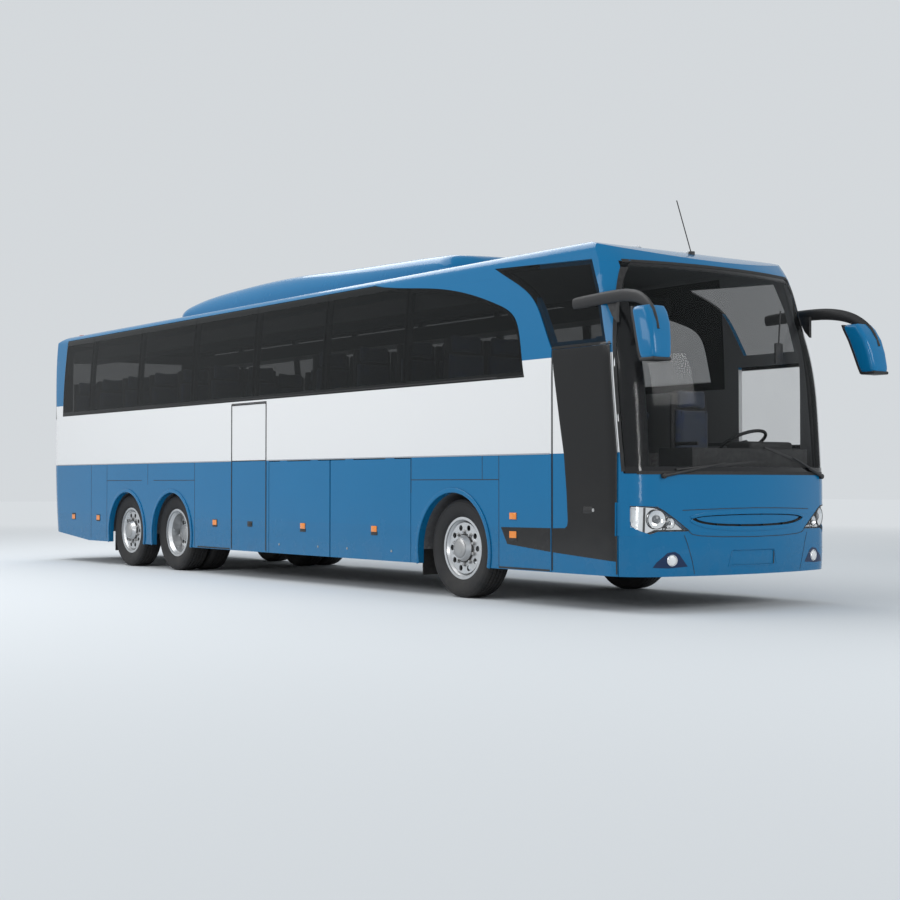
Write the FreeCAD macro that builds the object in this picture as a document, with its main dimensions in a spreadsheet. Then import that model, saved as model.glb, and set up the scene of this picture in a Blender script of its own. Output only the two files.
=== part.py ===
import FreeCAD, Part
import math
import os
from types import SimpleNamespace

# A three-axle touring coach. X points forward, Y to the coach's left and Z up.
# The origin lies on the ground below the middle of the whole coach.
# Stations along X are measured from the front axle, which lies ahead of the origin.

SIZES = {
    # Stations and the outer body
    "front_axle_x": 3595,
    "wheelbase": 6140,
    "tag_spacing": 1340,
    "front_overhang": 2720,
    "rear_overhang": 2760,
    "body_width": 2550,
    "skirt_height": 316,
    "tail_height": 470,
    "tail_run": 1600,
    "belt_height": 1381,
    "tumble_height": 1900,
    "eave_height": 3253,
    "eave_inset": 85,
    "section_ease": 2,
    "roof_height": 3345,
    "eave_radius": 120,
    "front_bow_radius": 3911,
    "front_corner_radius": 369,
    "rear_bow_radius": 5680,
    "rear_corner_radius": 390,
    "screen_lean": 421,
    "rear_tuck": 130,
    "roof_front_run": 1620,
    "roof_front_radius": 3265,
    "roof_rear_run": 1240,
    "roof_rear_radius": 3260,
    "wall": 60,
    "skin_rebate": 12,
    "glass_thickness": 8,
    "seam": 6,
    "fit": 0.3,
    "pin_play": 0.08,
    "door_gap": 10,
    "overrun": 400,
    # Front panels
    "mask_station": 2352,
    "bumper_top": 690,
    "cowl_height": 1195,
    "screen_top": 3075,
    "screen_open_width": 2180,
    "screen_edge_foot": 2385,
    "screen_edge_lean": 200,
    "roof_split": 3060,
    "grille_width": 1440,
    "grille_bottom": 735,
    "grille_top": 850,
    "grille_depth": 40,
    "slat_height": 14,
    "plate_width": 540,
    "plate_bottom": 400,
    "plate_top": 530,
    "plate_depth": 12,
    # Rear panels
    "rear_split": 470,
    "lid_width": 1500,
    "lid_bottom": 800,
    "lid_top": 1700,
    "rear_bumper_top": 760,
    "rear_window_width": 1900,
    "rear_window_bottom": 2120,
    "rear_window_top": 3020,
    "tail_lamp_bottom": 900,
    "tail_lamp_top": 1500,
    "tail_lamp_inner": 960,
    "lamp_depth": 30,
    # Side glass
    "sill_height": 2090,
    "glass_height": 1110,
    "glass_rear_station": 9600,
    "glass_frame": 45,
    "pillar_width": 90,
    "pane_pitch": 1560,
    "quarter_sill": 2335,
    "driver_sill": 1450,
    "driver_window_top": 2270,
    "driver_window_rear": 1400,
    "driver_window_front": 2190,
    # Doors and flaps in the right wall
    "front_door_rear": 1458,
    "front_door_front": 2334,
    "front_door_top": 2325,
    "door_lean": 97,
    "mid_door_rear": 4495,
    "mid_door_front": 3655,
    "mid_door_top": 2070,
    "door_thickness": 40,
    "flap_rear": 3600,
    "flap_split": 2270,
    "flap_front": 733,
    "flap_thickness": 40,
    "flap_top": 1375,
    "hinge_length": 160,
    # Wheels
    "tyre_radius": 482.5,
    "tyre_width": 276,
    "tyre_shoulder": 40,
    "tyre_bead_radius": 292,
    "tyre_flats": 36,
    "rim_lip_radius": 305,
    "rim_lip_width": 14,
    "rim_width": 210,
    "rim_well_radius": 262,
    "rim_wall": 12,
    "disc_thickness": 14,
    "disc_outset": 78,
    "drive_disc_inset": 70,
    "hub_radius": 140,
    "hub_cap_radius": 105,
    "hub_reach": 60,
    "bore_radius": 60,
    "front_wheel_y": 1070,
    "tag_wheel_y": 1070,
    "drive_outer_y": 1060,
    "twin_spacing": 322,
    "hand_holes": 10,
    "hand_hole_radius": 28,
    "hand_hole_circle": 205,
    # Axles
    "beam_width": 100,
    "beam_height": 90,
    "kingpin_y": 930,
    "kingpin_radius": 22,
    "eye_radius": 60,
    "eye_height": 110,
    "lug_height": 45,
    "lug_gap": 5,
    "knuckle_width": 110,
    "knuckle_thickness": 45,
    "rear_tube_radius": 85,
    "differential_radius": 210,
    "air_spring_radius": 120,
    "air_spring_y": 430,
    # Wheel arches
    "front_arch_radius": 568,
    "rear_arch_radius": 540,
    "arch_centre_height": 455,
    "front_arch_shift": 28,
    "rear_arch_shift": 56,
    "liner_slot": 170,
    "liner_slot_top": 600,
    "liner_thickness": 15,
    "front_liner_inner": 560,
    "rear_liner_inner": 560,
    # Under-frame and floors
    "frame_front_setback": 200,
    "frame_rear_setback": 400,
    "floor_rear_setback": 790,
    "rail_width": 90,
    "rail_height": 180,
    "rail_y": 430,
    "rail_bottom": 720,
    "front_rail_bottom": 610,
    "hold_bottom": 330,
    "hold_floor": 40,
    "hold_front": 700,
    "hold_rear": 5440,
    "floor_top": 1430,
    "floor_thickness": 60,
    "floor_front": 500,
    "driver_floor_top": 860,
    "bulkhead": 40,
    "tow_eye_radius": 20.5,
    "tow_eye_outer": 60,
    "tow_plate": 30,
    "tow_eye_setback": 165,
    "tow_plate_bottom": 390,
    "step_rise": 215,
    "step_depth": 260,
    "stairwell_width": 620,
    # Engine
    "engine_length": 1250,
    "engine_bottom": 520,
    "engine_rear_gap": 500,
    # Interior
    "seat_pitch": 830,
    "seat_rows": 12,
    "first_seat_station": 250,
    "seat_width": 980,
    "seat_inner_y": 215,
    "seat_cushion_height": 450,
    "seat_cushion_depth": 460,
    "seat_cushion_thickness": 130,
    "seat_back_top": 1180,
    "seat_back_thickness": 110,
    "seat_leg_width": 90,
    "driver_seat_station": 1530,
    "driver_seat_y": 640,
    "driver_seat_width": 500,
    "rack_width": 380,
    "rack_height": 170,
    "rack_top_drop": 220,
    "dash_depth": 420,
    "dash_front_station": 2460,
    "dash_bottom": 1050,
    "dash_top": 1430,
    "dash_width": 2000,
    "steering_radius": 225,
    "steering_tube": 16,
    "steering_tilt": 62,
    "steering_column": 400,
    "steering_height": 1500,
    "steering_station": 1990,
    # Roof pod and antenna
    "pod_front_station": 425,
    "pod_rear_station": 6740,
    "pod_half_width": 930,
    "pod_top": 3593,
    "antenna_station": 1960,
    "antenna_length": 560,
    "antenna_radius": 5,
    "antenna_base_radius": 30,
    "antenna_base_height": 25,
    "antenna_tilt": 20,
    # Mirrors
    "mirror_arm_rear": 1740,
    "mirror_arm_front": 2990,
    "mirror_arm_height": 2675,
    "mirror_arm_depth": 104,
    "mirror_arm_thickness": 46,
    "mirror_arm_gap": 30,
    "mirror_arm_drop": 330,
    "mirror_foot_setback": 200,
    "mirror_foot_depth": 100,
    "mirror_arm_bend": 330,
    "mirror_head_width": 250,
    "mirror_head_depth": 190,
    "mirror_head_height": 480,
    "mirror_head_bottom": 2120,
    "mirror_head_station": 2920,
    "mirror_head_y": 1385,
    "mirror_head_radius": 60,
    # Wipers
    "wiper_pivot_y": 995,
    "wiper_pivot_height": 1170,
    "wiper_blade_length": 900,
    "wiper_thickness": 18,
    "wiper_standoff": 30,
    # Lamps
    "headlamp_outer_y": 1240,
    "headlamp_inner_y": 723,
    "headlamp_top": 925,
    "headlamp_bottom": 675,
    "headlamp_tip_rise": 27,
    "headlamp_brow_drop": 10,
    "fog_y": 892,
    "fog_height": 459,
    "fog_radius": 48,
    "marker_width": 100,
    "marker_height": 62,
    "marker_proud": 8,
    "marker_lamp_height": 640,
    # Swing arms of the doors
    "arm_length": 500,
    "arm_depth": 34,
    "arm_height": 60,
    "post_radius": 22,
    "post_inset": 95,
    "post_setback": 260,
    "bracket_width": 90,
    "pin_radius": 12,
    # Mudflaps
    "mudflap_width": 300,
    "mudflap_thickness": 12,
    "mudflap_bottom": 190,
    "mudflap_top": 560,
}

# Height above the skirt, lean of the front and lean of the rear, as shares.
lean_shares = (
    (-0.05, 0.08, 1.1),
    (0.1, 0.0, 0.55),
    (0.29, 0.0, 0.1),
    (0.424, 0.055, 0.0),
    (0.556, 0.143, 0.0),
    (0.681, 0.347, 0.02),
    (0.767, 0.58, 0.06),
    (0.856, 0.808, 0.15),
    (0.916, 1.0, 0.25),
    (1.03, 1.52, 0.75),
)

# Front end of the passenger glass: shares of the wheelbase and of the glass height.
band_front_shares = (
    (-0.245, 1.0),
    (-0.05, 0.86),
    (0.106, 0.638),
    (0.1485, 0.505),
    (0.165, 0.272),
    (0.1754, 0.0),
)

# Outline of the quarter glass above the front door, in the same shares.
quarter_rear_shares = (
    (0.2365, 0.2207),
    (0.2213, 0.373),
    (0.19, 0.637),
    (0.1507, 0.785),
    (0.0893, 0.957),
)
quarter_front_shares = (
    (0.3163, 0.9),
    (0.3368, 0.641),
    (0.356, 0.2207),
)

# Top line of the roof pod: shares of its length from the front and of its height.
pod_shares = (
    (0.0, 0.0),
    (0.0, 0.2),
    (0.055, 0.56),
    (0.355, 0.77),
    (0.49, 1.0),
    (0.72, 0.9),
    (0.89, 0.76),
    (1.0, 0.2),
    (1.0, 0.0),
)


class Size:
    """A length with its value and the sheet formula that drives it."""

    def __init__(self, value, text):
        self.value = float(value)
        self.text = text

    def __float__(self):
        return self.value

    def join(self, other, sign, value):
        text = other.text if isinstance(other, Size) else repr(other)
        return Size(value, f"({self.text} {sign} {text})")

    def __add__(self, other):
        return self.join(other, "+", self.value + float(other))

    def __sub__(self, other):
        return self.join(other, "-", self.value - float(other))

    def __mul__(self, other):
        return self.join(other, "*", self.value * float(other))

    def __truediv__(self, other):
        return self.join(other, "/", self.value / float(other))

    def __neg__(self):
        return Size(-self.value, f"(0 - {self.text})")


document = FreeCAD.newDocument("Coach")
sheet = document.addObject("Spreadsheet::Sheet", "Sizes")
for row, (alias, value) in enumerate(SIZES.items(), 1):
    sheet.set(f"A{row}", alias)
    sheet.set(f"B{row}", str(value))
    sheet.setAlias(f"B{row}", alias)
document.recompute()
s = SimpleNamespace(**{alias: Size(sheet.get(alias), f"Sizes.{alias}") for alias in SIZES})
v = SimpleNamespace(**{alias: float(sheet.get(alias)) for alias in SIZES})

nodes = {}
half_width = v.body_width / 2
front_x = v.front_axle_x + v.front_overhang
rear_x = v.front_axle_x - v.wheelbase - v.tag_spacing - v.rear_overhang
drive_x = v.front_axle_x - v.wheelbase
tag_x = drive_x - v.tag_spacing
inner_y = half_width - v.wall
vector = FreeCAD.Vector


def station(distance):
    """X of a station measured forward from the front axle."""
    return v.front_axle_x + distance


def keep(label, item):
    """Name an object after its node and list it for export."""
    item.Label = label
    nodes[label] = item
    return item


def feature(label, shape):
    """Add a ready shape as a node of its own."""
    item = document.addObject("Part::Feature", label)
    item.Shape = shape
    return keep(label, item)


def bind(item, **sizes):
    """Tie properties of an object to the sheet's sizes."""
    for name, size in sizes.items():
        if isinstance(size, Size):
            item.setExpression(name.replace("_", "."), size.text)


def box(name, corner, extent):
    """A bound box from its lowest corner."""
    item = document.addObject("Part::Box", name)
    bind(item, Length=extent[0], Width=extent[1], Height=extent[2])
    bind(item, Placement_Base_x=corner[0], Placement_Base_y=corner[1], Placement_Base_z=corner[2])
    return item


def cylinder(name, foot, radius, height, axis=vector(0, 0, 1)):
    """A bound cylinder from the middle of its foot."""
    item = document.addObject("Part::Cylinder", name)
    item.Placement.Rotation = FreeCAD.Rotation(vector(0, 0, 1), axis)
    bind(item, Radius=radius, Height=height)
    bind(item, Placement_Base_x=foot[0], Placement_Base_y=foot[1], Placement_Base_z=foot[2])
    return item


def fuse(name, items):
    """One solid from several bound pieces that touch or overlap."""
    item = document.addObject("Part::MultiFuse", name)
    item.Shapes = items
    return item


def cut(name, base, tool):
    """A bound piece less another."""
    item = document.addObject("Part::Cut", name)
    item.Base = base
    item.Tool = tool
    return item


def group(name, items):
    """Like pieces that don't touch, as one node."""
    item = document.addObject("Part::Compound", name)
    item.Links = items
    return item


def block(x_from, x_to, y_from, y_to, z_from, z_to):
    """A plain block between two corners."""
    corner = vector(x_from, y_from, z_from)
    return Part.makeBox(x_to - x_from, y_to - y_from, z_to - z_from, corner)


def side_prism(points, y_from, y_to, curved=(), grow=0):
    """An outline in X and Z drawn through the coach's side."""
    edges = outline_edges([vector(x, y_from, z) for x, z in grown(points, grow)], curved)
    return Part.Face(Part.Wire(edges)).extrude(vector(0, y_to - y_from, 0))


def grown(points, grow):
    """The same outline with each side moved outwards by grow."""
    count = len(points)
    pairs = [(points[index - 1], points[index]) for index in range(count)]
    area = sum(a[0] * b[1] - b[0] * a[1] for a, b in pairs)
    way = grow if area > 0 else -grow
    normals = []
    for a, b in pairs:
        length = math.hypot(b[0] - a[0], b[1] - a[1])
        normals.append(((b[1] - a[1]) / length, (a[0] - b[0]) / length))
    moved = []
    for index, (x, z) in enumerate(points):
        before, after = normals[index], normals[(index + 1) % count]
        share = way / (1 + before[0] * after[0] + before[1] * after[1])
        moved.append((x + share * (before[0] + after[0]), z + share * (before[1] + after[1])))
    return moved


def outline_edges(points, curved):
    """Edges round a list of points; each run named in curved is one smooth curve."""
    edges = []
    index = 0
    loop = points + points[:1]
    ends = dict(curved)
    while index < len(points):
        last = ends.get(index, index + 1)
        run = loop[index:last + 1]
        if len(run) > 2:
            curve = Part.BSplineCurve()
            curve.interpolate(run)
            edges.append(curve.toShape())
        else:
            edges.append(Part.makeLine(run[0], run[1]))
        index = last
    return edges


# The hull is where a lofted plan, a side outline and a cross-section meet
def plan_wire(height, front, rear, inset):
    """Plan of the body at one height, with bowed ends and round corners."""
    ends = []
    for end_x, bow, corner, way in (
        (front, v.front_bow_radius, v.front_corner_radius, 1),
        (rear, v.rear_bow_radius, v.rear_corner_radius, -1),
    ):
        corner_y = half_width - corner
        turn = math.asin(corner_y / (bow - corner))
        bow_x = end_x - way * bow
        corner_x = bow_x + way * (bow - corner) * math.cos(turn)
        middle = (turn + math.pi / 2) / 2
        reach = corner - inset
        ends.append({
            "nose": vector(bow_x + way * (bow - inset), 0, height),
            "joint": (corner_x + way * reach * math.cos(turn), corner_y + reach * math.sin(turn)),
            "middle": (corner_x + way * reach * math.cos(middle), corner_y + reach * math.sin(middle)),
            "side": (corner_x, corner_y + reach),
        })
    nose, tail = ends

    def at(place, hand):
        return vector(place[0], hand * place[1], height)

    def arc(first, middle, last):
        return Part.Arc(first, middle, last).toShape()

    return Part.Wire([
        arc(at(nose["joint"], -1), nose["nose"], at(nose["joint"], 1)),
        arc(at(nose["joint"], 1), at(nose["middle"], 1), at(nose["side"], 1)),
        Part.makeLine(at(nose["side"], 1), at(tail["side"], 1)),
        arc(at(tail["side"], 1), at(tail["middle"], 1), at(tail["joint"], 1)),
        arc(at(tail["joint"], 1), tail["nose"], at(tail["joint"], -1)),
        arc(at(tail["joint"], -1), at(tail["middle"], -1), at(tail["side"], -1)),
        Part.makeLine(at(tail["side"], -1), at(nose["side"], -1)),
        arc(at(nose["side"], -1), at(nose["middle"], -1), at(nose["joint"], -1)),
    ])


def plan_loft(inset):
    """The leaning front and rear, lofted from plans at several heights."""
    span = v.roof_height - v.skirt_height
    wires = []
    for height, front_lean, rear_lean in lean_shares:
        front = front_x - front_lean * v.screen_lean
        rear = rear_x + rear_lean * v.rear_tuck
        wires.append(plan_wire(v.skirt_height + height * span, front, rear, inset))
    return Part.makeLoft(wires, True, False)


def section_prism(inset):
    """The cross-section: a slight tumblehome above the plan's sides, and a crowned roof."""
    rise = v.eave_height - v.tumble_height
    side_y = half_width + v.section_ease
    eave_y = half_width - v.eave_inset
    lean = side_y - eave_y
    side_radius = (rise ** 2 + lean ** 2) / (2 * lean)
    turn = math.asin(rise / side_radius) / 2
    bend_y = side_y - side_radius + side_radius * math.cos(turn)
    bend_z = v.tumble_height + side_radius * math.sin(turn)
    bottom = v.skirt_height - v.overrun
    x = rear_x - v.overrun

    def at(y, z):
        return vector(x, y, z)

    wire = Part.Wire([
        Part.makeLine(at(-side_y, bottom), at(side_y, bottom)),
        Part.makeLine(at(side_y, bottom), at(side_y, v.tumble_height)),
        Part.Arc(at(side_y, v.tumble_height), at(bend_y, bend_z), at(eave_y, v.eave_height)).toShape(),
        Part.Arc(at(eave_y, v.eave_height), at(0, v.roof_height), at(-eave_y, v.eave_height)).toShape(),
        Part.Arc(at(-eave_y, v.eave_height), at(-bend_y, bend_z), at(-side_y, v.tumble_height)).toShape(),
        Part.makeLine(at(-side_y, v.tumble_height), at(-side_y, bottom)),
    ])
    face = Part.Face(wire)
    if inset:
        face = face.makeOffset2D(-inset, join=2)
    prism = face.extrude(vector(front_x - rear_x + 2 * v.overrun, 0, 0))
    edges = [edge for edge in prism.Edges if is_eave(edge)]
    return prism.makeFillet(max(v.eave_radius - inset, v.seam), edges)


def is_eave(edge):
    """True for the two long edges between side and roof."""
    first, last = edge.Vertexes[0].Point, edge.Vertexes[-1].Point
    long_enough = abs(first.x - last.x) > v.wheelbase
    return long_enough and first.z > v.roof_split


def profile_prism(inset):
    """The side outline: roof rounded down at both ends, tail swept up below."""
    top = v.roof_height - inset
    bottom = v.skirt_height - (v.overrun if inset else 0)
    tail = v.tail_height - (v.overrun if inset else 0)
    front_flat = front_x - v.roof_front_run
    rear_flat = rear_x + v.roof_rear_run
    depth = half_width + v.overrun
    edges = []

    def at(x, z):
        return vector(x, -depth, z)

    def fall(run, radius):
        return radius - math.sqrt(radius ** 2 - run ** 2)

    def roof_arc(flat, run, radius, way):
        first = at(flat, top)
        middle = at(flat + way * run / 2, top - fall(run / 2, radius))
        last = at(flat + way * run, top - fall(run, radius))
        return first, middle, last

    nose = roof_arc(front_flat, v.roof_front_run + v.overrun / 2, v.roof_front_radius, 1)
    back = roof_arc(rear_flat, v.roof_rear_run + v.overrun / 2, v.roof_rear_radius, -1)
    low_front = at(nose[2].x, bottom)
    low_rear = at(back[2].x, tail)
    low_turn = at(rear_x + v.tail_run, bottom)
    edges.append(Part.makeLine(low_front, nose[2]))
    edges.append(Part.Arc(nose[2], nose[1], nose[0]).toShape())
    edges.append(Part.makeLine(nose[0], back[0]))
    edges.append(Part.Arc(back[0], back[1], back[2]).toShape())
    edges.append(Part.makeLine(back[2], low_rear))
    edges.append(Part.makeLine(low_rear, low_turn))
    edges.append(Part.makeLine(low_turn, low_front))
    face = Part.Face(Part.Wire(edges))
    return face.extrude(vector(0, 2 * depth, 0))


hulls = {}


def hull(inset):
    """The closed body, or the same form set inwards."""
    if inset not in hulls:
        hulls[inset] = section_prism(inset).common(profile_prism(inset)).common(plan_loft(inset))
    return hulls[inset]


outer = hull(0)
rebate = hull(v.skin_rebate)
inner = hull(v.wall)
door_back = hull(v.door_thickness)
flap_back = hull(v.flap_thickness)
shell = outer.cut(inner)
rebate_skin = outer.cut(rebate)
glass_face = hull(v.skin_rebate - v.glass_thickness - v.fit)
glass_back = hull(v.skin_rebate - v.fit)
glass_skin = glass_face.cut(glass_back)
low = -v.overrun
high = v.roof_height + v.overrun
wide = half_width + v.overrun
far_front = front_x + v.overrun
far_rear = rear_x - v.overrun


def glass_reach(hand):
    """How far the side glass outlines are drawn in and out on one side."""
    return sorted((hand * inner_y / 2, hand * wide))


def glass_point(shares):
    """A point of the side glass from its shares."""
    return station(shares[0] * v.wheelbase), v.sill_height + shares[1] * v.glass_height


def band_prism(y_from, y_to, trim=0):
    """The long passenger glass, trimmed inwards by a frame's width."""
    rear = station(-v.glass_rear_station)
    top = v.sill_height + v.glass_height
    front = [glass_point(point) for point in band_front_shares]
    points = [(rear, v.sill_height), (rear, top)] + front
    return side_prism(points, y_from, y_to, curved=((2, len(points) - 1),), grow=-trim)


def quarter_prism(y_from, y_to, trim=0):
    """The glass above the front door, with a curved rear edge."""
    rear = [glass_point(point) for point in quarter_rear_shares]
    front = [glass_point(point) for point in quarter_front_shares]
    rear[0] = (rear[0][0], v.quarter_sill)
    front[-1] = (front[-1][0], v.quarter_sill)
    return side_prism(rear + front, y_from, y_to, curved=((0, len(rear) - 1),), grow=-trim)


def pane_edges():
    """Stations of the pillars between the passenger panes."""
    first = station(-v.glass_rear_station) + v.pane_pitch * 3 / 5
    return [first + index * v.pane_pitch for index in range(6)]


def window_holes(y_from, y_to):
    """See-through openings behind the passenger glass, split by pillars."""
    hole = band_prism(y_from, y_to, v.glass_frame)
    for edge in pane_edges():
        post = block(edge - v.pillar_width / 2, edge + v.pillar_width / 2, -wide, wide, low, high)
        hole = hole.cut(post)
    return hole


arches = (
    (v.front_axle_x, v.front_axle_x - v.front_arch_shift, v.front_arch_radius, v.front_liner_inner),
    (drive_x, drive_x + v.rear_arch_shift, v.rear_arch_radius, v.rear_liner_inner),
    (tag_x, tag_x + v.rear_arch_shift, v.rear_arch_radius, v.rear_liner_inner),
)


def arch_cutters(hand):
    """Round openings for the three wheels of one side."""
    y_foot = hand * (half_width + v.overrun)
    cutters = []
    for axle_x, x, radius, inner_edge in arches:
        foot = vector(x, y_foot, v.arch_centre_height)
        depth = v.wall * 2 + v.overrun
        cutters.append(Part.makeCylinder(radius, depth, foot, vector(0, -hand, 0)))
        cutters.append(block(x - radius, x + radius, min(y_foot, y_foot - hand * depth),
                             max(y_foot, y_foot - hand * depth), low, v.arch_centre_height))
    return cutters


def screen_edge_prism(y_from, y_to, back=0):
    """All that lies ahead of the windscreen's side edge."""
    foot = station(v.screen_edge_foot) - back
    top = foot - v.screen_edge_lean
    points = [
        (foot, v.cowl_height),
        (top, v.screen_top),
        (far_front, v.screen_top),
        (far_front, v.cowl_height),
    ]
    return side_prism(points, y_from, y_to)


front_door_range = (station(v.front_door_rear), station(v.front_door_front), v.front_door_top, v.door_lean)
mid_door_range = (station(-v.mid_door_rear), station(-v.mid_door_front), v.mid_door_top, 0)
flap_ranges = (
    (station(-v.flap_split), station(-v.flap_front), v.flap_top, 0),
    (station(-v.flap_rear), station(-v.flap_split), v.flap_top, 0),
)


arm_y = -(half_width - v.door_thickness - v.post_inset)


def post_place(place, forward):
    """X of a swing arm's post and of the door's pivot on it."""
    if forward:
        post_x = place[1] - v.post_setback
        return post_x, post_x - v.arm_length
    post_x = place[0] + v.post_setback
    return post_x, post_x + v.arm_length


def door_space(place, y_from, y_to, gap=0):
    """A doorway's outline; a leaning door follows the windscreen pillar above the belt."""
    rear, front, top, lean = place
    points = [(rear, low), (rear, top), (front - lean, top), (front, v.belt_height), (front, low)]
    if not lean:
        points.pop(3)
    return side_prism(points, y_from, y_to, grow=-gap)


def side_openings(hand):
    """Door and flap openings of one side, as blocks through the wall."""
    y_from, y_to = sorted((hand * wide, hand * (inner_y - v.wall)))
    places = list(flap_ranges)
    if hand < 0:
        places += [front_door_range, mid_door_range]
    return [door_space(place, y_from, y_to) for place in places]


def side_wall(hand):
    """One side wall with its pillars, window openings, arches and door openings."""
    y_from, y_to = sorted((0, hand * wide))
    rear_edge = rear_x + v.rear_split
    wall_space = block(rear_edge, station(v.mask_station), y_from, y_to, low, v.roof_split)
    pillar_space = block(station(v.mask_station), far_front, y_from, y_to, v.cowl_height, v.roof_split)
    wall_piece = shell.common(wall_space.fuse(pillar_space))
    cut_y = glass_reach(hand)
    cutters = [window_holes(*cut_y), quarter_prism(*cut_y, trim=v.glass_frame)]
    cutters += arch_cutters(hand) + side_openings(hand)
    half_open = v.screen_open_width / 2
    cutters.append(block(station(v.mask_station) - v.overrun, far_front, -half_open, half_open,
                         v.cowl_height, v.screen_top))
    if hand > 0:
        cutters.append(driver_window(0))
    wall_piece = wall_piece.cut(cutters)
    if hand < 0:
        for place, forward in ((front_door_range, True), (mid_door_range, False)):
            wall_piece = wall_piece.fuse(post_bearing(place, forward))
    return wall_piece.cut(glass_rebates(hand))


def post_bearing(place, forward):
    """The block on the wall above a doorway that carries the swing arm's post."""
    post_x = post_place(place, forward)[0]
    bottom = place[2] + v.door_gap
    half = v.bracket_width / 2
    return block(post_x - half, post_x + half, -(inner_y + v.wall / 2), arm_y + half, bottom, bottom + v.arm_height)


def driver_window(grow):
    """The driver's low side window in the left wall."""
    return block(
        station(v.driver_window_rear) - grow,
        station(v.driver_window_front) + grow,
        inner_y - 3 * v.wall,
        wide,
        v.driver_sill - grow,
        v.driver_window_top + grow,
    )


def glass_rebates(hand):
    """Shallow seats in the outer skin for the side glass and the windscreen."""
    y_range = glass_reach(hand)
    seats = [rebate_skin.common(band_prism(*y_range)), rebate_skin.common(quarter_prism(*y_range))]
    seats.append(rebate_skin.common(screen_edge_prism(-wide, wide)))
    if hand > 0:
        seats.append(rebate_skin.common(driver_window(v.glass_frame)))
    return seats


def side_glass(hand):
    """Panes of one side with thin seams between them."""
    y_range = glass_reach(hand)
    band = glass_skin.common(band_prism(*y_range, trim=v.seam))
    slits = [block(edge - v.seam / 2, edge + v.seam / 2, -wide, wide, low, high) for edge in pane_edges()]
    panes = band.cut(slits).Solids
    panes += glass_skin.common(quarter_prism(*y_range, trim=v.seam)).Solids
    if hand > 0:
        panes += glass_skin.common(driver_window(v.glass_frame - v.seam)).Solids
    return Part.Compound(panes)


feature("side_wall_right", side_wall(-1))
feature("side_wall_left", side_wall(1))
feature("side_glass_right", side_glass(-1))
feature("side_glass_left", side_glass(1))


def roof():
    """The roof from the eaves up, round the top edge of all glass."""
    rear_edge = rear_x + v.rear_split
    top = shell.common(block(rear_edge, far_front, -wide, wide, v.roof_split + v.fit, high))
    seats = glass_rebates(-1) + glass_rebates(1)
    holes = []
    for hand in (-1, 1):
        y_range = glass_reach(hand)
        holes += [window_holes(*y_range), quarter_prism(*y_range, trim=v.glass_frame)]
    return top.cut(seats + holes)


feature("roof_shell", roof())


def windscreen():
    """The bowed windscreen, set in its rebate."""
    pane = glass_skin.common(screen_edge_prism(-wide, wide, back=-v.seam))
    bounds = block(station(0), far_front, -wide, wide, v.cowl_height + v.seam, v.screen_top - v.seam)
    return pane.common(bounds)


feature("windscreen", windscreen())


def front_prism(points, x_from, x_to, grow=0):
    """An outline in Y and Z drawn along the coach's length."""
    edges = outline_edges([vector(x_from, y, z) for y, z in grown(points, grow)], ())
    return Part.Face(Part.Wire(edges)).extrude(vector(x_to - x_from, 0, 0))


def headlamp_points(hand):
    """The pointed headlamp outline, widest at the corner."""
    inner = v.headlamp_inner_y
    outer = v.body_width / 2 + v.wall
    top = v.headlamp_top
    bottom = v.headlamp_bottom
    waist = inner + (v.headlamp_outer_y - v.headlamp_inner_y) * 3 / 4
    notch = inner + (v.headlamp_outer_y - v.headlamp_inner_y) * 3 / 5
    points = [
        (inner, bottom + v.headlamp_tip_rise),
        (notch, top - v.headlamp_brow_drop),
        (outer, top),
        (outer, bottom),
        (waist, bottom),
        (notch, bottom + v.headlamp_tip_rise),
    ]
    return [(hand * y, z) for y, z in points]


def headlamp_space(hand, gap=0):
    return front_prism(headlamp_points(hand), station(v.mask_station) + v.fit - gap, far_front, gap)


def grille_space(grow=0):
    """The wide hexagon of the grille opening."""
    half = v.grille_width / 2
    shoulder = half * 4 / 5
    bottom = v.grille_bottom
    top = v.grille_top
    waist = top - (top - bottom) / 3
    upper = [(-half, waist), (-shoulder, top), (shoulder, top), (half, waist)]
    lower = [(shoulder, bottom), (-shoulder, bottom)]
    return front_prism(upper + lower, station(v.mask_station), far_front, grow)


def front_mask():
    """The painted front between bumper and windscreen."""
    space = block(station(v.mask_station) + v.fit, far_front, -wide, wide,
                  v.bumper_top + v.fit, v.cowl_height - v.fit)
    holes = [headlamp_space(-1, v.fit), headlamp_space(1, v.fit), grille_space(v.fit)]
    return shell.common(space).cut(holes)


def front_bumper():
    """The bumper with its plate recess and fog lamp holes."""
    space = block(station(v.mask_station) + v.fit, far_front, -wide, wide, low, v.bumper_top)
    bumper = shell.common(space)
    recess_skin = outer.cut(hull(v.plate_depth))
    half_plate = v.plate_width / 2
    recess = recess_skin.common(block(station(v.mask_station), far_front, -half_plate, half_plate,
                                      v.plate_bottom, v.plate_top))
    holes = [recess] + [headlamp_space(hand, v.fit) for hand in (-1, 1)]
    for hand in (-1, 1):
        foot = vector(station(v.mask_station), hand * v.fog_y, v.fog_height)
        holes.append(Part.makeCylinder(v.fog_radius + v.fit, v.overrun * 2, foot, vector(1, 0, 0)))
    return bumper.cut(holes)


feature("front_mask", front_mask())
feature("front_bumper", front_bumper())


def front_lamps():
    """Headlamps and round fog lamps, each a solid in its hole."""
    lamp_skin = outer.cut(door_back)
    lamps = []
    for hand in (-1, 1):
        lamps += lamp_skin.common(headlamp_space(hand)).Solids
        foot = vector(station(v.mask_station), hand * v.fog_y, v.fog_height)
        fog = Part.makeCylinder(v.fog_radius, v.overrun * 2, foot, vector(1, 0, 0))
        lamps += lamp_skin.common(fog).Solids
    return Part.Compound(lamps)


feature("front_lamps", front_lamps())


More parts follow.
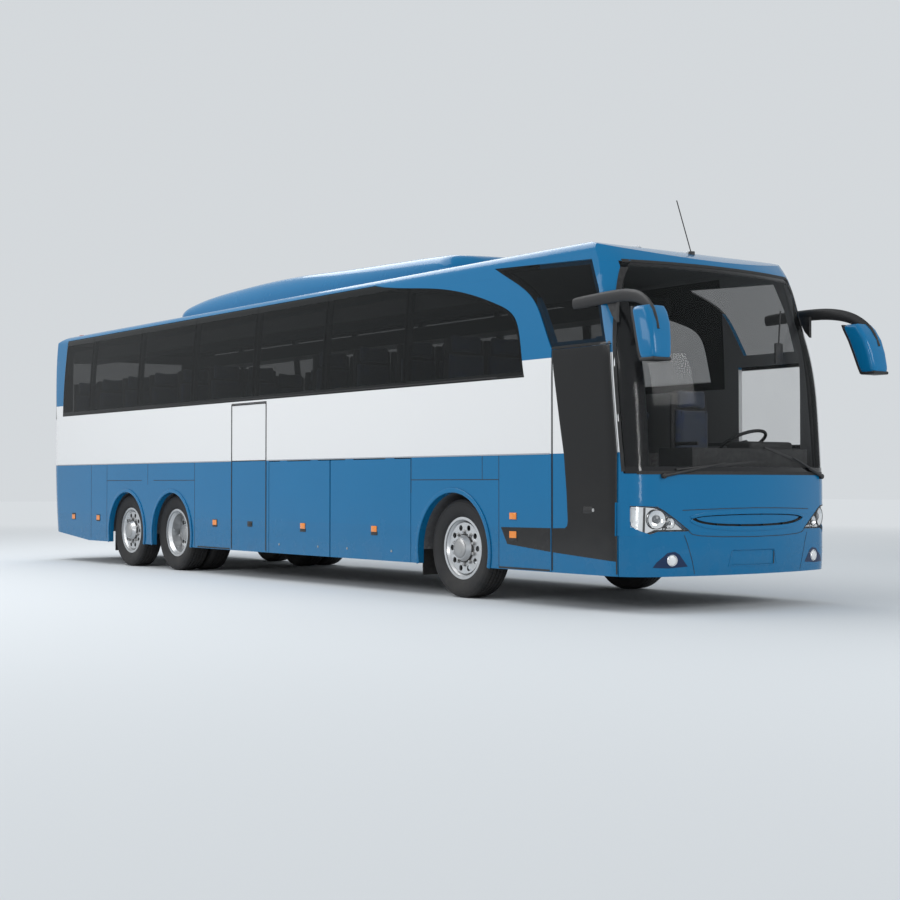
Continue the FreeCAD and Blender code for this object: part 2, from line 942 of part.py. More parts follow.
def grille_panel():
    """A backing behind the opening with horizontal slats in front of it."""
    middle = hull(v.grille_depth)
    backing = middle.cut(inner).common(grille_space())
    slat_pitch = (v.grille_top - v.grille_bottom) / 4
    slats = []
    for index in range(1, 4):
        height = v.grille_bottom + index * slat_pitch
        strip = block(station(v.mask_station), far_front, -wide, wide,
                      height - v.slat_height / 2, height + v.slat_height / 2)
        slats.append(rebate.cut(inner).common(strip).common(grille_space()))
    return backing.fuse(slats)


feature("grille", grille_panel())


def rear_space(z_from, z_to):
    return block(far_rear, rear_x + v.rear_split - v.fit, -wide, wide, z_from, z_to)


def lid_space(grow):
    half = v.lid_width / 2 + grow
    return block(far_rear, rear_x + v.rear_corner_radius, -half, half, v.lid_bottom - grow, v.lid_top + grow)


def rear_glass_space(grow):
    half = v.rear_window_width / 2 + grow
    return block(far_rear, rear_x + v.rear_corner_radius, -half, half,
                 v.rear_window_bottom - grow, v.rear_window_top + grow)


def tail_lamp_space(hand, grow=0):
    y_from, y_to = sorted((hand * (v.tail_lamp_inner - grow), hand * wide))
    return block(far_rear, rear_x + v.rear_corner_radius / 2 + grow, y_from, y_to,
                 v.tail_lamp_bottom - grow, v.tail_lamp_top + grow)


def rear_wall():
    """The tail above its bumper, with the lid opening, window and lamp seats."""
    piece = shell.common(rear_space(v.rear_bumper_top + v.fit, high))
    lamp_skin = outer.cut(hull(v.lamp_depth))
    cutters = [lid_space(0), rear_glass_space(-v.glass_frame), rebate_skin.common(rear_glass_space(0))]
    cutters += [lamp_skin.common(tail_lamp_space(hand, v.seam)) for hand in (-1, 1)]
    return piece.cut(cutters)


def tail_lamps():
    lamp_skin = outer.cut(hull(v.lamp_depth - v.fit))
    return Part.Compound([lamp_skin.common(tail_lamp_space(hand)) for hand in (-1, 1)])


feature("rear_wall", rear_wall())
feature("rear_bumper", shell.common(rear_space(low, v.rear_bumper_top)))


def engine_lid():
    """The engine lid with one long hinge eye at the middle of its top edge."""
    leaf = outer.cut(flap_back).common(lid_space(-v.door_gap))
    eye = hinge_barrel(v.hinge_length * 2)
    eye.rotate(vector(0, 0, 0), vector(0, 0, 1), 90)
    eye.translate(vector(rear_x + v.door_gap / 2, 0, v.lid_top - v.door_gap / 2))
    return leaf.fuse(eye)


feature("rear_window", glass_skin.common(rear_glass_space(-v.seam)))
feature("tail_lamps", tail_lamps())


# Doors swing on an arm whose post stands just inside the doorway
def door_leaf(place):
    """A door as thick as the wall panel, cut from the body's own form."""
    return outer.cut(door_back).common(door_space(place, -wide, 0, v.door_gap))


def door_parts(place, forward):
    """Door leaf with its inner brackets, and the swing arm with its post."""
    post_x, pivot_x = post_place(place, forward)
    arm_heights = (v.skirt_height + v.step_rise, place[2] - 2 * v.step_rise)
    leaf = door_leaf(place)
    arm = Part.makeCylinder(v.post_radius, place[2] + v.door_gap - v.fit - arm_heights[0],
                            vector(post_x, arm_y, arm_heights[0]))
    for height in arm_heights:
        low_x, high_x = sorted((post_x, pivot_x))
        bar = block(low_x, high_x, arm_y - v.arm_depth / 2, arm_y + v.arm_depth / 2, height, height + v.arm_height)
        end = Part.makeCylinder(v.arm_depth / 2, v.arm_height, vector(pivot_x, arm_y, height))
        bore = Part.makeCylinder(v.pin_radius + v.pin_play, v.arm_height, vector(pivot_x, arm_y, height))
        arm = arm.fuse([bar, end]).cut(bore)
        pin_length = v.arm_height + v.lug_gap + v.pin_radius
        pin = Part.makeCylinder(v.pin_radius, pin_length, vector(pivot_x, arm_y, height))
        plate_z = height + v.arm_height + v.lug_gap
        plate = block(pivot_x - v.bracket_width / 2, pivot_x + v.bracket_width / 2,
                      -(half_width - v.door_thickness / 2), arm_y + v.pin_radius, plate_z, plate_z + v.pin_radius)
        leaf = leaf.fuse([pin, plate])
    return leaf, arm


front_leaf, front_arm = door_parts(front_door_range, True)
mid_leaf, mid_arm = door_parts(mid_door_range, False)
feature("front_door", front_leaf)
feature("front_door_arm", front_arm)
feature("mid_door", mid_leaf)
feature("mid_door_arm", mid_arm)


def hinge_barrel(length):
    """A hinge eye along X whose axis lies on the origin, with its tongue below."""
    radius = v.door_gap / 2 - v.fit
    barrel = Part.makeCylinder(radius, length, vector(-length / 2, 0, 0), vector(1, 0, 0))
    tongue = block(-length / 2, length / 2, -radius, radius, -v.door_gap, 0)
    return barrel.fuse(tongue)


def flap(hand, place):
    """A luggage flap with two hinge eyes at its top and a marker lamp's boss."""
    rear, front, top, lean = place
    y_from, y_to = sorted((0, hand * wide))
    leaf = outer.cut(flap_back).common(door_space(place, y_from, y_to, v.door_gap))
    eye_y = hand * (half_width - v.door_gap / 2)
    for share in (1, 3):
        eye = hinge_barrel(v.hinge_length)
        eye.translate(vector(rear + (front - rear) * share / 4, eye_y, top - v.door_gap / 2))
        leaf = leaf.fuse(eye)
    return leaf.fuse(marker_block(hand, (rear + front) / 2 + v.marker_width, 0))


def marker_block(hand, x, gap):
    """One amber side marker that stands a little proud of the skin."""
    y_from, y_to = sorted((hand * (half_width + gap), hand * (half_width + v.marker_proud)))
    return block(x - v.marker_width / 2, x + v.marker_width / 2, y_from, y_to,
                 v.marker_lamp_height - v.marker_height / 2, v.marker_lamp_height + v.marker_height / 2)


for side_name, hand in (("right", -1), ("left", 1)):
    for place_name, place in zip(("front", "rear"), flap_ranges):
        feature(f"flap_{side_name}_{place_name}", flap(hand, place))
feature("engine_lid", engine_lid())


# Under-frame: rails at both ends and the luggage hold between them
def under_frame():
    """Rails, bulkheads and the hold floor as one welded frame."""
    rail_front = station(v.mask_station) - v.frame_front_setback
    hold_front = station(-v.hold_front)
    hold_rear = station(-v.hold_rear)
    rail_rear = rear_x + v.frame_rear_setback
    floor_under = v.floor_top - v.floor_thickness - v.fit
    hold_y = inner_y - v.wall
    pieces = [block(hold_rear, hold_front, -hold_y, hold_y, v.hold_bottom, v.hold_bottom + v.hold_floor)]
    for x in (hold_rear, hold_front - v.bulkhead):
        pieces.append(block(x, x + v.bulkhead, -hold_y, hold_y, v.hold_bottom, floor_under))
    for x0, x1, cross, bottom in (
        (hold_front - v.bulkhead / 2, rail_front, rail_front - v.rail_width, v.front_rail_bottom),
        (rail_rear, hold_rear + v.bulkhead / 2, rail_rear, v.rail_bottom),
    ):
        for y in (-v.rail_y, v.rail_y):
            pieces.append(block(x0, x1, y - v.rail_width / 2, y + v.rail_width / 2, bottom, bottom + v.rail_height))
        pieces.append(block(cross, cross + v.rail_width, -v.rail_y, v.rail_y, bottom, bottom + v.rail_height))
    eye_x = rear_x + v.tow_eye_setback
    eye_foot = vector(eye_x, 0, v.tow_plate_bottom)
    bracket_x = rail_rear + v.rail_width / 2
    pieces.append(Part.makeCylinder(v.tow_eye_outer, v.tow_plate, eye_foot))
    pieces.append(block(eye_x, bracket_x, -v.tow_eye_outer, v.tow_eye_outer,
                        v.tow_plate_bottom, v.tow_plate_bottom + v.tow_plate))
    pieces.append(block(bracket_x - v.tow_plate, bracket_x, -v.tow_eye_outer, v.tow_eye_outer,
                        v.tow_plate_bottom, v.rail_bottom + v.tow_plate))
    bore = Part.makeCylinder(v.tow_eye_radius, v.tow_plate, eye_foot)
    return pieces[0].fuse(pieces[1:]).cut(bore)


feature("chassis_frame", under_frame())


def wheel_liner(axle_x, arch_x, radius, hand, inner_edge):
    """A curved housing over one wheel with a closed inner side, open for the axle."""
    depth = inner_y - v.fit - inner_edge
    way = vector(0, hand, 0)
    drums = []
    rooms = []
    for x in (axle_x, arch_x):
        foot = vector(x, hand * inner_edge, v.arch_centre_height)
        drums.append(Part.makeCylinder(radius + v.liner_thickness, depth, foot, way))
        foot = vector(x, hand * (inner_edge + v.liner_thickness), v.arch_centre_height)
        rooms.append(Part.makeCylinder(radius, depth, foot, way))
    lower = block(axle_x - 2 * radius, axle_x + 2 * radius, -wide, wide, low, v.arch_centre_height)
    slot = block(axle_x - v.liner_slot, axle_x + v.liner_slot, -wide, wide, low, v.liner_slot_top)
    return drums[0].fuse(drums[1]).cut(rooms + [lower, slot])


def cabin_floor():
    """Passenger deck, driver's platform, steps and wheel housings."""
    floor_rear = rear_x + v.floor_rear_setback
    floor_front = station(v.floor_front)
    floor_under = v.floor_top - v.floor_thickness
    side = inner_y - v.fit
    deck = block(floor_rear, floor_front, -side, side, floor_under, v.floor_top)
    well_front = station(-v.mid_door_front) - v.wall
    well_rear = station(-v.mid_door_rear) + v.wall
    deck = deck.cut(block(well_rear, well_front, -wide, -(side - v.stairwell_width), low, high))
    platform_front = station(v.mask_station) - v.wall
    riser = block(floor_front - v.bulkhead, floor_front, -side, side, v.driver_floor_top, v.floor_top)
    stair_y = -(v.rail_y + v.rail_width / 2 + v.fit)
    platform = block(floor_front - v.bulkhead, platform_front, stair_y - v.wall, side - v.wall,
                     v.driver_floor_top - v.floor_thickness, v.driver_floor_top)
    pieces = [deck, riser, platform]
    door_x = station(v.front_door_rear) + v.wall
    for index in range(2):
        top = v.driver_floor_top - (index + 1) * v.step_rise
        y_inner = stair_y - index * v.step_depth
        pieces.append(block(door_x, platform_front, y_inner - v.step_depth - v.wall, y_inner,
                            top - v.floor_thickness, top))
        pieces.append(block(door_x, platform_front, y_inner - v.wall, y_inner,
                            top - v.floor_thickness, top + v.step_rise))
    body = pieces[0].fuse(pieces[1:])
    liners = []
    for hand in (-1, 1):
        for axle_x, arch_x, radius, inner_edge in arches:
            liners.append(wheel_liner(axle_x, arch_x, radius, hand, inner_edge))
    return Part.Compound([body] + merge(liners))


def merge(shapes):
    """Fuse what touches and give back the separate solids."""
    return shapes[0].fuse(shapes[1:]).Solids


feature("cabin_floor", cabin_floor())


engine_x = s.front_axle_x - s.wheelbase - s.tag_spacing - s.rear_overhang + s.engine_rear_gap
engine_half = s.rail_y - s.rail_width / 2 - s.fit
keep("engine_block", box(
    "engine_block",
    (engine_x, -engine_half, s.engine_bottom),
    (s.engine_length, engine_half * 2, s.floor_top - s.floor_thickness - s.seam - s.engine_bottom),
))


# Wheels: each is turned about the axle, then moved to its place
def tyre_section():
    """Closed section of a tyre: radius at the middle of each flat, and distance from the middle plane."""
    half = v.tyre_width / 2
    rim = v.rim_width / 2
    bead = rim - v.rim_lip_width
    lip = v.rim_lip_radius + v.fit
    ease = math.cos(math.pi / v.tyre_flats)
    side = [
        (v.tyre_bead_radius, bead),
        (lip, bead),
        (lip, rim),
        ((v.tyre_radius - v.tyre_shoulder * 2) * ease, half),
        (v.tyre_radius * ease, half - v.tyre_shoulder),
    ]
    return [(radius, -y) for radius, y in side] + side[::-1]


def tyre_shape():
    """A tyre turned about Y in equal flats, with a corner of the tread lowest."""
    flats = int(v.tyre_flats)
    section = tyre_section()
    rings = []
    for index in range(flats):
        angle = 2 * math.pi * index / flats - math.pi / 2
        reach = 1 / math.cos(math.pi / flats)
        rings.append([vector(radius * reach * math.cos(angle), y, radius * reach * math.sin(angle))
                      for radius, y in section])
    faces = []
    for index, ring in enumerate(rings):
        following = rings[(index + 1) % flats]
        for place in range(len(section)):
            past = (place + 1) % len(section)
            loop = [ring[place], ring[past], following[past], following[place]]
            faces.append(Part.Face(Part.makePolygon(loop + loop[:1])))
    body = Part.makeSolid(Part.makeShell(faces))
    if body.Volume < 0:
        body.reverse()
    return body


def rim_section(disc_out, hub_out):
    """Closed section of rim, disc and hub; positive Y is the outer side."""
    half = v.rim_width / 2
    lip = v.rim_lip_radius
    well = v.rim_well_radius
    wall = v.rim_wall
    seat = v.tyre_bead_radius - v.fit
    disc = v.disc_thickness
    return [
        (v.bore_radius, -hub_out),
        (v.hub_radius, -hub_out),
        (v.hub_radius, disc_out - disc),
        (well - wall, disc_out - disc),
        (well - wall, -half / 2),
        (seat - wall, -half + v.rim_lip_width),
        (seat - wall, -half),
        (lip, -half),
        (lip, -half + v.rim_lip_width - v.fit),
        (seat, -half + v.rim_lip_width - v.fit),
        (seat, -half / 2 - wall),
        (well, -half / 2),
        (well, half / 2),
        (seat, half / 2 + wall),
        (seat, half - v.rim_lip_width + v.fit),
        (lip, half - v.rim_lip_width + v.fit),
        (lip, half),
        (seat - wall, half),
        (seat - wall, half - v.rim_lip_width),
        (well - wall, half / 2),
        (well - wall, disc_out),
        (v.hub_radius, disc_out),
        (v.hub_cap_radius, disc_out + v.hub_reach),
        (v.bore_radius, disc_out + v.hub_reach),
    ]


def wheel_shape(disc_out, hub_out, capped=True):
    """A steel wheel turned about Y, with round hand holes in its disc."""
    loop = [vector(radius, y, 0) for radius, y in rim_section(disc_out, hub_out)]
    face = Part.Face(Part.makePolygon(loop + loop[:1]))
    wheel = face.revolve(vector(0, 0, 0), vector(0, 1, 0), 360)
    holes = []
    for index in range(int(v.hand_holes)):
        angle = 2 * math.pi * index / v.hand_holes
        foot = vector(v.hand_hole_circle * math.cos(angle), disc_out - 2 * v.disc_thickness,
                      v.hand_hole_circle * math.sin(angle))
        holes.append(Part.makeCylinder(v.hand_hole_radius, 3 * v.disc_thickness, foot, vector(0, 1, 0)))
    if not capped:
        return wheel.cut(holes)
    cap_foot = vector(0, disc_out + v.hub_reach - v.disc_thickness, 0)
    cap = Part.makeCylinder(v.bore_radius, v.disc_thickness, cap_foot, vector(0, 1, 0))
    return wheel.cut(holes).fuse(cap)


def set_wheel(shape, x, y, hand):
    """A copy of a wheel at its axle with its outer side facing out."""
    placed = shape.copy()
    if hand < 0:
        placed.rotate(vector(0, 0, 0), vector(0, 0, 1), 180)
    placed.translate(vector(x, hand * y, v.tyre_radius))
    return placed


steer_wheel = wheel_shape(v.disc_outset, v.rim_width / 8)
drive_wheel = wheel_shape(-v.drive_disc_inset, v.twin_spacing / 2 - v.fit)
inner_wheel = wheel_shape(-v.drive_disc_inset, v.twin_spacing / 2 - v.fit, capped=False)


tyre = tyre_shape()


def tyre_at(x, y, hand):
    """One tyre at its axle."""
    placed = tyre.copy()
    placed.translate(vector(x, y * hand, v.tyre_radius))
    return placed


for side_name, hand in (("right", -1), ("left", 1)):
    feature(f"front_wheel_{side_name}", set_wheel(steer_wheel, v.front_axle_x, v.front_wheel_y, hand))
    feature(f"tag_wheel_{side_name}", set_wheel(steer_wheel, tag_x, v.tag_wheel_y, hand))
    feature(f"front_tyre_{side_name}", tyre_at(v.front_axle_x, v.front_wheel_y, hand))
    feature(f"tag_tyre_{side_name}", tyre_at(tag_x, v.tag_wheel_y, hand))
    outer_wheel = set_wheel(drive_wheel, drive_x, v.drive_outer_y, hand)
    twin = set_wheel(inner_wheel, drive_x, v.twin_spacing - v.drive_outer_y, -hand)
    feature(f"drive_wheels_{side_name}", Part.Compound([outer_wheel, twin]))
    pair = [tyre_at(drive_x, y, hand) for y in (v.drive_outer_y, v.drive_outer_y - v.twin_spacing)]
    feature(f"drive_tyres_{side_name}", Part.Compound(pair))


# Front axle: a beam with an eye at each end for the kingpin
eye_foot = s.tyre_radius - s.eye_height / 2
front_pieces = [box(
    "front_beam",
    (s.front_axle_x - s.beam_width / 2, -s.kingpin_y, s.tyre_radius - s.beam_height / 2),
    (s.beam_width, s.kingpin_y * 2, s.beam_height),
)]
pin_holes = []
for hand in (-1, 1):
    front_pieces.append(cylinder(f"front_eye{hand}", (s.front_axle_x, s.kingpin_y * hand, eye_foot),
                                 s.eye_radius, s.eye_height))
    spring_foot = s.tyre_radius + s.beam_height / 2 - s.lug_gap
    front_pieces.append(cylinder(f"front_spring{hand}", (s.front_axle_x, s.air_spring_y * hand, spring_foot),
                                 s.air_spring_radius, s.front_rail_bottom - s.fit - spring_foot))
    pin_holes.append(cylinder(f"front_pin_hole{hand}", (s.front_axle_x, s.kingpin_y * hand, eye_foot - s.seam),
                              s.kingpin_radius + s.pin_play, s.eye_height + s.seam * 2))
beam = fuse("front_beam_whole", front_pieces)
keep("front_axle", cut("front_axle", beam, group("front_pin_holes", pin_holes)))


def knuckle(name, hand):
    """Fork round the beam's eye, kingpin and spindle in one piece."""
    place_y = s.kingpin_y * hand
    lug_low = eye_foot - s.lug_gap - s.lug_height
    lug_high = eye_foot + s.eye_height + s.lug_gap
    block_y = s.eye_radius + s.lug_gap
    height = lug_high + s.lug_height - lug_low
    pieces = [
        cylinder(f"{name}_low_lug", (s.front_axle_x, place_y, lug_low), s.eye_radius, s.lug_height),
        cylinder(f"{name}_high_lug", (s.front_axle_x, place_y, lug_high), s.eye_radius, s.lug_height),
        cylinder(f"{name}_pin", (s.front_axle_x, place_y, lug_low), s.kingpin_radius, height),
    ]
    outer_face = s.kingpin_y + block_y
    plate_low = outer_face if hand > 0 else -(outer_face + s.knuckle_thickness)
    pieces.append(box(f"{name}_plate", (s.front_axle_x - s.knuckle_width / 2, plate_low, lug_low),
                      (s.knuckle_width, s.knuckle_thickness, height)))
    for end, foot in (("low", lug_low), ("high", lug_high)):
        strap_low = s.kingpin_y if hand > 0 else -(outer_face + s.knuckle_thickness)
        pieces.append(box(f"{name}_{end}_strap", (s.front_axle_x - s.eye_radius, strap_low, foot),
                          (s.eye_radius * 2, block_y + s.knuckle_thickness, s.lug_height)))
    spindle_foot = (outer_face + s.knuckle_thickness / 2) * hand
    hub_end = s.front_wheel_y + s.disc_outset + s.hub_reach - s.disc_thickness * 2
    reach = hub_end - outer_face - s.knuckle_thickness / 2
    pieces.append(cylinder(f"{name}_spindle", (s.front_axle_x, spindle_foot, s.tyre_radius),
                           s.bore_radius - s.pin_play, reach, vector(0, hand, 0)))
    return fuse(name, pieces)


keep("knuckle_right", knuckle("knuckle_right", -1))
keep("knuckle_left", knuckle("knuckle_left", 1))


def rear_axle(name, x, reach, carrier):
    """A round axle tube through the hubs, with springs up to the rails."""
    tube_reach = s.drive_outer_y - s.twin_spacing - s.rim_width / 2 - s.seam
    pieces = [
        cylinder(f"{name}_tube", (x, -tube_reach, s.tyre_radius), s.rear_tube_radius, tube_reach * 2,
                 vector(0, 1, 0)),
        cylinder(f"{name}_shaft", (x, -reach, s.tyre_radius), s.bore_radius - s.pin_play, reach * 2,
                 vector(0, 1, 0)),
    ]
    if carrier:
        ball = document.addObject("Part::Sphere", f"{name}_carrier")
        bind(ball, Radius=s.differential_radius, Placement_Base_x=x, Placement_Base_z=s.tyre_radius)
        pieces.append(ball)
    for hand in (-1, 1):
        spring_foot = s.tyre_radius + s.rear_tube_radius / 2
        pieces.append(cylinder(f"{name}_spring{hand}", (x, s.air_spring_y * hand, spring_foot),
                               s.air_spring_radius, s.rail_bottom - s.fit - spring_foot))
    return fuse(name, pieces)


drive_station = s.front_axle_x - s.wheelbase
drive_reach = s.drive_outer_y - s.drive_disc_inset + s.hub_reach - s.disc_thickness * 2
tag_reach = s.tag_wheel_y + s.disc_outset + s.hub_reach - s.disc_thickness * 2
keep("rear_axles", group("rear_axles", [
    rear_axle("drive_axle", drive_station, drive_reach, True),
    rear_axle("tag_axle", drive_station - s.tag_spacing, tag_reach, False),
]))


# Cabin furniture
def seat_shape(width):
    """A seat for one or two: cushion, back and leg in one solid, facing forward."""
    depth = v.seat_cushion_depth
    top = v.seat_cushion_height
    back = v.seat_back_thickness
    cushion = block(0, depth, -width / 2, width / 2, top - v.seat_cushion_thickness, top)
    rest = block(-back / 2, back / 2, -width / 2, width / 2, top - v.seat_cushion_thickness, v.seat_back_top)
    leg = block(depth / 2 - v.seat_leg_width / 2, depth / 2 + v.seat_leg_width / 2,
                -v.seat_leg_width / 2, v.seat_leg_width / 2, 0, top - v.seat_cushion_thickness / 2)
    return cushion.fuse([rest, leg])


def seats():
    """Rows of paired seats on both sides of the aisle, and the driver's seat."""
    pair = seat_shape(v.seat_width)
    rows = []
    well = (station(-v.mid_door_rear) - v.seat_cushion_depth, station(-v.mid_door_front) + v.seat_back_thickness)
    for index in range(int(v.seat_rows)):
        x = station(-v.first_seat_station) - index * v.seat_pitch
        for hand in (-1, 1):
            if hand < 0 and well[0] < x < well[1]:
                continue
            copy = pair.copy()
            copy.translate(vector(x, hand * (v.seat_inner_y + v.seat_width / 2), v.floor_top + v.fit))
            rows.append(copy)
    driver = seat_shape(v.driver_seat_width)
    driver.translate(vector(station(v.driver_seat_station) - v.seat_cushion_depth / 2, v.driver_seat_y,
                            v.driver_floor_top + v.fit))
    return Part.Compound(rows + [driver])


feature("seats", seats())


def racks():
    """A luggage rack under the roof on each side."""
    top = v.eave_height - v.rack_top_drop
    rear = rear_x + v.floor_rear_setback
    front = station(v.floor_front)
    pieces = []
    for hand in (-1, 1):
        y_from, y_to = sorted((hand * (half_width - v.wall * 2 - v.rack_width), hand * half_width))
        bar = block(rear, front, y_from, y_to, top - v.rack_height, top)
        pieces.append(bar.common(hull(v.wall + v.fit)))
    return Part.Compound(pieces)


feature("luggage_racks", racks())


def dashboard():
    """The long dashboard below the windscreen."""
    rear = station(v.dash_front_station) - v.dash_depth
    bar = block(rear, station(v.dash_front_station), -v.dash_width / 4, v.dash_width / 2, v.dash_bottom, v.dash_top)
    leg = block(rear + v.wall, station(v.dash_front_station) - v.wall, 0, v.dash_width / 3,
                v.driver_floor_top + v.fit, v.dash_bottom)
    return bar.fuse(leg).common(hull(v.wall + v.fit))


feature("dashboard", dashboard())


def steering_wheel():
    """A rim with a cross bar on a column that stands on the dashboard."""
    ring = Part.makeTorus(v.steering_radius, v.steering_tube)
    bar = Part.makeCylinder(v.steering_tube * 3 / 4, 2 * v.steering_radius,
                            vector(0, -v.steering_radius, 0), vector(0, 1, 0))
    boss = Part.makeCylinder(v.steering_tube * 3, v.steering_column, vector(0, 0, -v.steering_column))
    wheel = ring.fuse([bar, boss])
    wheel.rotate(vector(0, 0, 0), vector(0, 1, 0), -(90 - v.steering_tilt))
    wheel.translate(vector(station(v.steering_station), v.driver_seat_y, v.steering_height))
    return wheel.cut(dashboard())


feature("steering_wheel", steering_wheel())


# Roof pod, antenna and marker
def roof_pod():
    """The long air-conditioning pod that lies on the crowned roof."""
    length = v.pod_rear_station - v.pod_front_station
    base = v.roof_height - v.wall
    height = v.pod_top - base
    front = station(-v.pod_front_station)
    points = [(front - share * length, base + rise * height) for share, rise in pod_shares]
    prism = side_prism(points, -v.pod_half_width, v.pod_half_width)
    pod = prism.cut(outer)
    pod.translate(vector(0, 0, v.fit))
    return pod


feature("roof_pod", roof_pod())


def antenna():
    """A leaning rod on a small foot."""
    base = Part.makeCylinder(v.antenna_base_radius, v.antenna_base_height + v.wall, vector(0, 0, -v.wall))
    rod = Part.makeCylinder(v.antenna_radius, v.antenna_length)
    rod.rotate(vector(0, 0, 0), vector(0, 1, 0), -v.antenna_tilt)
    mast = base.fuse(rod)
    fall = v.antenna_station - (v.front_overhang - v.roof_front_run)
    drop = v.roof_front_radius - math.sqrt(v.roof_front_radius ** 2 - fall ** 2)
    mast.translate(vector(station(v.antenna_station), 0, v.roof_height - drop))
    mast = mast.cut(outer)
    mast.translate(vector(0, 0, v.fit))
    return max(mast.Solids, key=lambda item: item.Volume)


feature("antenna", antenna())


# Mirrors
def mirror(hand):
    """An arm along the pillar that bends down to its head."""
    rear = station(v.mirror_arm_rear)
    front = station(v.mirror_arm_front)
    top = v.mirror_arm_height + v.mirror_arm_depth / 2
    bottom = v.mirror_arm_height - v.mirror_arm_depth / 2
    bend = v.mirror_arm_bend
    tip = v.mirror_arm_height - v.mirror_arm_drop
    y_from = half_width - v.eave_inset + v.mirror_arm_gap
    depth = v.mirror_arm_depth
    points = [
        (rear, bottom),
        (rear, top),
        (front - bend, top),
        (front, tip),
        (front - depth, tip),
        (front - bend - depth / 3, bottom),
    ]
    arm = side_prism(points, y_from, y_from + v.mirror_arm_thickness)
    foot_x = station(v.screen_edge_foot) - v.mirror_foot_setback
    foot_y = y_from - v.mirror_foot_depth
    foot = block(foot_x, foot_x + depth, foot_y, y_from + v.mirror_arm_thickness / 2, bottom, top)
    arm = arm.fuse(foot).cut(hull(-v.fit))
    arm = max(arm.Solids, key=lambda item: item.Volume)
    head = block(
        station(v.mirror_head_station) - v.mirror_head_depth / 2,
        station(v.mirror_head_station) + v.mirror_head_depth / 2,
        v.mirror_head_y - v.mirror_head_width / 2,
        v.mirror_head_y + v.mirror_head_width / 2,
        v.mirror_head_bottom,
        v.mirror_head_bottom + v.mirror_head_height,
    )
    head = head.makeFillet(v.mirror_head_radius, head.Edges)
    whole = arm.fuse(head)
    if hand < 0:
        whole = whole.mirror(vector(0, 0, 0), vector(0, 1, 0))
    return whole


feature("mirrors", Part.Compound([mirror(-1), mirror(1)]))


# Wipers, side markers and mudflaps
def wipers():
    """Two arms with blades that lie low across the windscreen."""
    pieces = []
    for pivot_y, way in ((-v.wiper_pivot_y, 1), (v.wiper_pivot_y, -1)):
        y_from, y_to = sorted((pivot_y, pivot_y + way * v.wiper_blade_length))
        zone = block(station(v.mask_station), far_front, y_from, y_to,
                     v.cowl_height + v.wiper_standoff, v.cowl_height + v.wiper_standoff + v.wiper_thickness)
        blade = hull(-v.wiper_standoff).cut(hull(-v.wiper_standoff + v.wiper_thickness)).common(zone)
        stub = block(station(v.mask_station), far_front, pivot_y - v.wiper_thickness, pivot_y + v.wiper_thickness,
                     v.wiper_pivot_height - v.wiper_thickness, v.cowl_height + v.wiper_standoff + v.wiper_thickness)
        stub = hull(-v.wiper_standoff).cut(hull(-v.fit)).common(stub)
        pieces.append(blade.fuse(stub))
    return Part.Compound(pieces)


feature("wipers", wipers())

marker_shares = (0.1492, -0.7989, -1.3568, -1.4949)


def side_markers():
    """Small amber lamps low on both sides, at shares of the wheelbase."""
    lamps = []
    for hand in (-1, 1):
        for share in marker_shares:
            lamps.append(marker_block(hand, station(share * v.wheelbase), v.fit))
    return Part.Compound(lamps)


feature("side_markers", side_markers())


def mudflaps():
    """Rubber flaps behind the front and tag wheels."""
    pieces = []
    for hand in (-1, 1):
        y_from, y_to = sorted((hand * (inner_y - v.wall - v.mudflap_width), hand * (inner_y - v.wall)))
        for x, top in (
            (station(-v.hold_front) + v.fit, v.mudflap_top),
            (tag_x - v.rear_arch_radius - v.liner_thickness, v.arch_centre_height - v.fit),
        ):
            pieces.append(block(x, x + v.mudflap_thickness, y_from, y_to, v.mudflap_bottom, top))
    return Part.Compound(pieces)


feature("mudflaps", mudflaps())


document.recompute()
for item in document.Objects:
    if "Invalid" in item.State or "Error" in item.State:
        raise RuntimeError(f"{item.Label} did not recompute")
for label, item in nodes.items():
    if item.Shape.isNull() or not item.Shape.isValid():
        raise RuntimeError(f"{label} is not a valid shape")
    if not all(skin.isClosed() for skin in item.Shape.Shells):
        raise RuntimeError(f"{label} is not closed")

os.makedirs("parts", exist_ok=True)
for label, item in nodes.items():
    item.Shape.exportStep(f"parts/{label}.step")
    print(label, len(item.Shape.Solids), round(item.Shape.Volume / 1e6, 1), "litres")
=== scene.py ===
import bpy
import math
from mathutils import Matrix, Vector


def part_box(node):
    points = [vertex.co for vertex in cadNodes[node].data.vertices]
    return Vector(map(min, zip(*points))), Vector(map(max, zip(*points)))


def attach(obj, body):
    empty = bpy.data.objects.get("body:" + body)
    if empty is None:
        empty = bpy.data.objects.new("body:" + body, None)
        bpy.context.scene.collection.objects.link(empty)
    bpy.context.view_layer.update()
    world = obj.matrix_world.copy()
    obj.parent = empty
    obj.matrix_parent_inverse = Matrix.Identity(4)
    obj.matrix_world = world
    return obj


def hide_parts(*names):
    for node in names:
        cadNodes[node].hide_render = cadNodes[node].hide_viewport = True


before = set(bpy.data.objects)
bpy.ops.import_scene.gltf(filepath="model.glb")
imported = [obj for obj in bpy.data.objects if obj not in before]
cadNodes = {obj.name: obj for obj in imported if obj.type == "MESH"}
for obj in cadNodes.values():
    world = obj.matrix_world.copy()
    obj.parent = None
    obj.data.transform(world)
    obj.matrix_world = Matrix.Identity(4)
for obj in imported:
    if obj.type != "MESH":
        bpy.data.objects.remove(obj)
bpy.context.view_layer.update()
print("frame loaded:", len(cadNodes), "nodes")

scene = bpy.context.scene
scene.view_settings.view_transform = "Standard"
hands = {-1: "Right", 1: "Left"}  # each side of the coach by the sign of its Y


# small helpers used by every piece

def deselectAll():
    if bpy.context.object and bpy.context.object.mode != "OBJECT":
        bpy.ops.object.mode_set(mode="OBJECT")
    bpy.ops.object.select_all(action="DESELECT")


